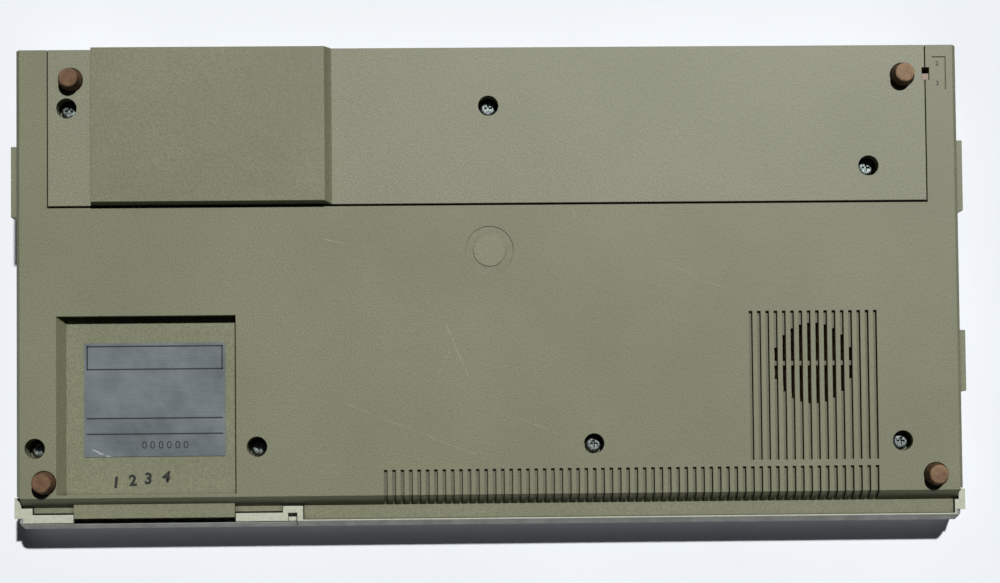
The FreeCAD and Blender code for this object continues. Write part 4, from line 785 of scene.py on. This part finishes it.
def make_floor(reach=2.4, sweep=0.9, height=3.2, sides=96, steps=12):
    """A round floor that sweeps up into a wall at its rim."""
    bends = [math.pi / 2 * step / steps for step in range(steps + 1)]
    profile = [(reach + sweep * math.sin(bend), sweep * (1 - math.cos(bend))) for bend in bends]
    profile.append((reach + sweep, height))
    turns = [2 * math.pi * side / sides for side in range(sides)]
    points = [(far * math.cos(turn), far * math.sin(turn), z) for far, z in profile for turn in turns]
    faces = [tuple(range(sides))]
    for ring in range(len(profile) - 1):
        for side in range(sides):
            near, far = ring * sides + side, ring * sides + (side + 1) % sides
            faces.append((near, near + sides, far + sides, far))
    stage_sheet("floor", points, faces, stage_paper("floor_paper", (0.80, 0.80, 0.79), 0.42))


def make_table(x=0.27, y=0.19):
    """The sheet that the keys lie on in the photograph."""
    corners = [(-x, -y, lying_height(-y)), (-x, y, lying_height(y)), (x, y, lying_height(y)),
               (x, -y, lying_height(-y))]
    stage_sheet("table", corners, [(0, 1, 2, 3)], stage_paper("table_paper", (0.865, 0.91, 0.98)))


def make_camera():
    """The photograph's view: straight from below, a little to the front, with the rear edge at the top."""
    data = bpy.data.cameras.new("camera")
    camera = bpy.data.objects.new("camera", data)
    bpy.context.scene.collection.objects.link(camera)
    data.lens = 68.788372
    data.sensor_width = 36
    data.sensor_fit = "HORIZONTAL"
    data.shift_x = -0.008
    data.shift_y = 0.1385
    data.clip_start = 0.05
    data.clip_end = 20
    right = Vector((-0.999789, -0.010322, -0.017758))
    up = Vector((-0.00968, 0.99931, -0.035846))
    back = Vector((0.018115, -0.035666, -0.9992))
    turn = Matrix((right, up, back)).transposed().to_4x4()
    camera.matrix_world = Matrix.Translation((0.0070636, -0.0840462, -0.7445)) @ turn
    bpy.context.scene.camera = camera


def lamp(name, kind, energy, place, aim, colour, **values):
    data = bpy.data.lights.new(name, kind)
    data.energy = energy
    data.color = colour
    for key, value in values.items():
        setattr(data, key, value)
    light = bpy.data.objects.new(name, data)
    bpy.context.scene.collection.objects.link(light)
    light.location = place
    light.rotation_euler = (Vector(aim) - Vector(place)).to_track_quat("-Z", "Y").to_euler()


def make_light():
    """A sun on the underside, soft lamps above, and a sky that is dark below the horizon."""
    world = bpy.data.worlds.new("world")
    world.use_nodes = True
    tree = world.node_tree
    background = tree.nodes["Background"]
    background.inputs[0].default_value = (0.90, 0.93, 1.0, 1)
    height = tree.nodes.new("ShaderNodeSeparateXYZ")
    tree.links.new(tree.nodes.new("ShaderNodeTexCoord").outputs["Generated"], height.inputs[0])
    glow = tree.nodes.new("ShaderNodeMapRange")
    tree.links.new(height.outputs["Z"], glow.inputs["Value"])
    for socket, value in (("From Min", -0.05), ("From Max", 0.03), ("To Min", 0.014), ("To Max", 0.38)):
        glow.inputs[socket].default_value = value
    tree.links.new(glow.outputs[0], background.inputs[1])
    bpy.context.scene.world = world
    sun_place = (-0.20, 0.50, -1.0)
    lamp("sun_below", "SUN", 3.34, sun_place, (0, 0, 0), (1.0, 0.985, 0.95), angle=math.radians(2.5))
    middle = (0, 0, 0.02)
    lamp("key_above", "AREA", 17, (-1.1, -1.2, 1.5), middle, (1.0, 0.95, 0.90), size=1.2)
    lamp("fill_above", "AREA", 7, (1.4, -0.7, 1.1), middle, (0.95, 0.97, 1.0), size=1.4)
    lamp("rear_above", "AREA", 10, (0.2, 1.5, 1.3), middle, (1, 1, 1), size=1.4)


make_floor()
make_table()
make_camera()
make_light()
bpy.context.scene.view_settings.view_transform = "Standard"

bpy.context.view_layer.update()
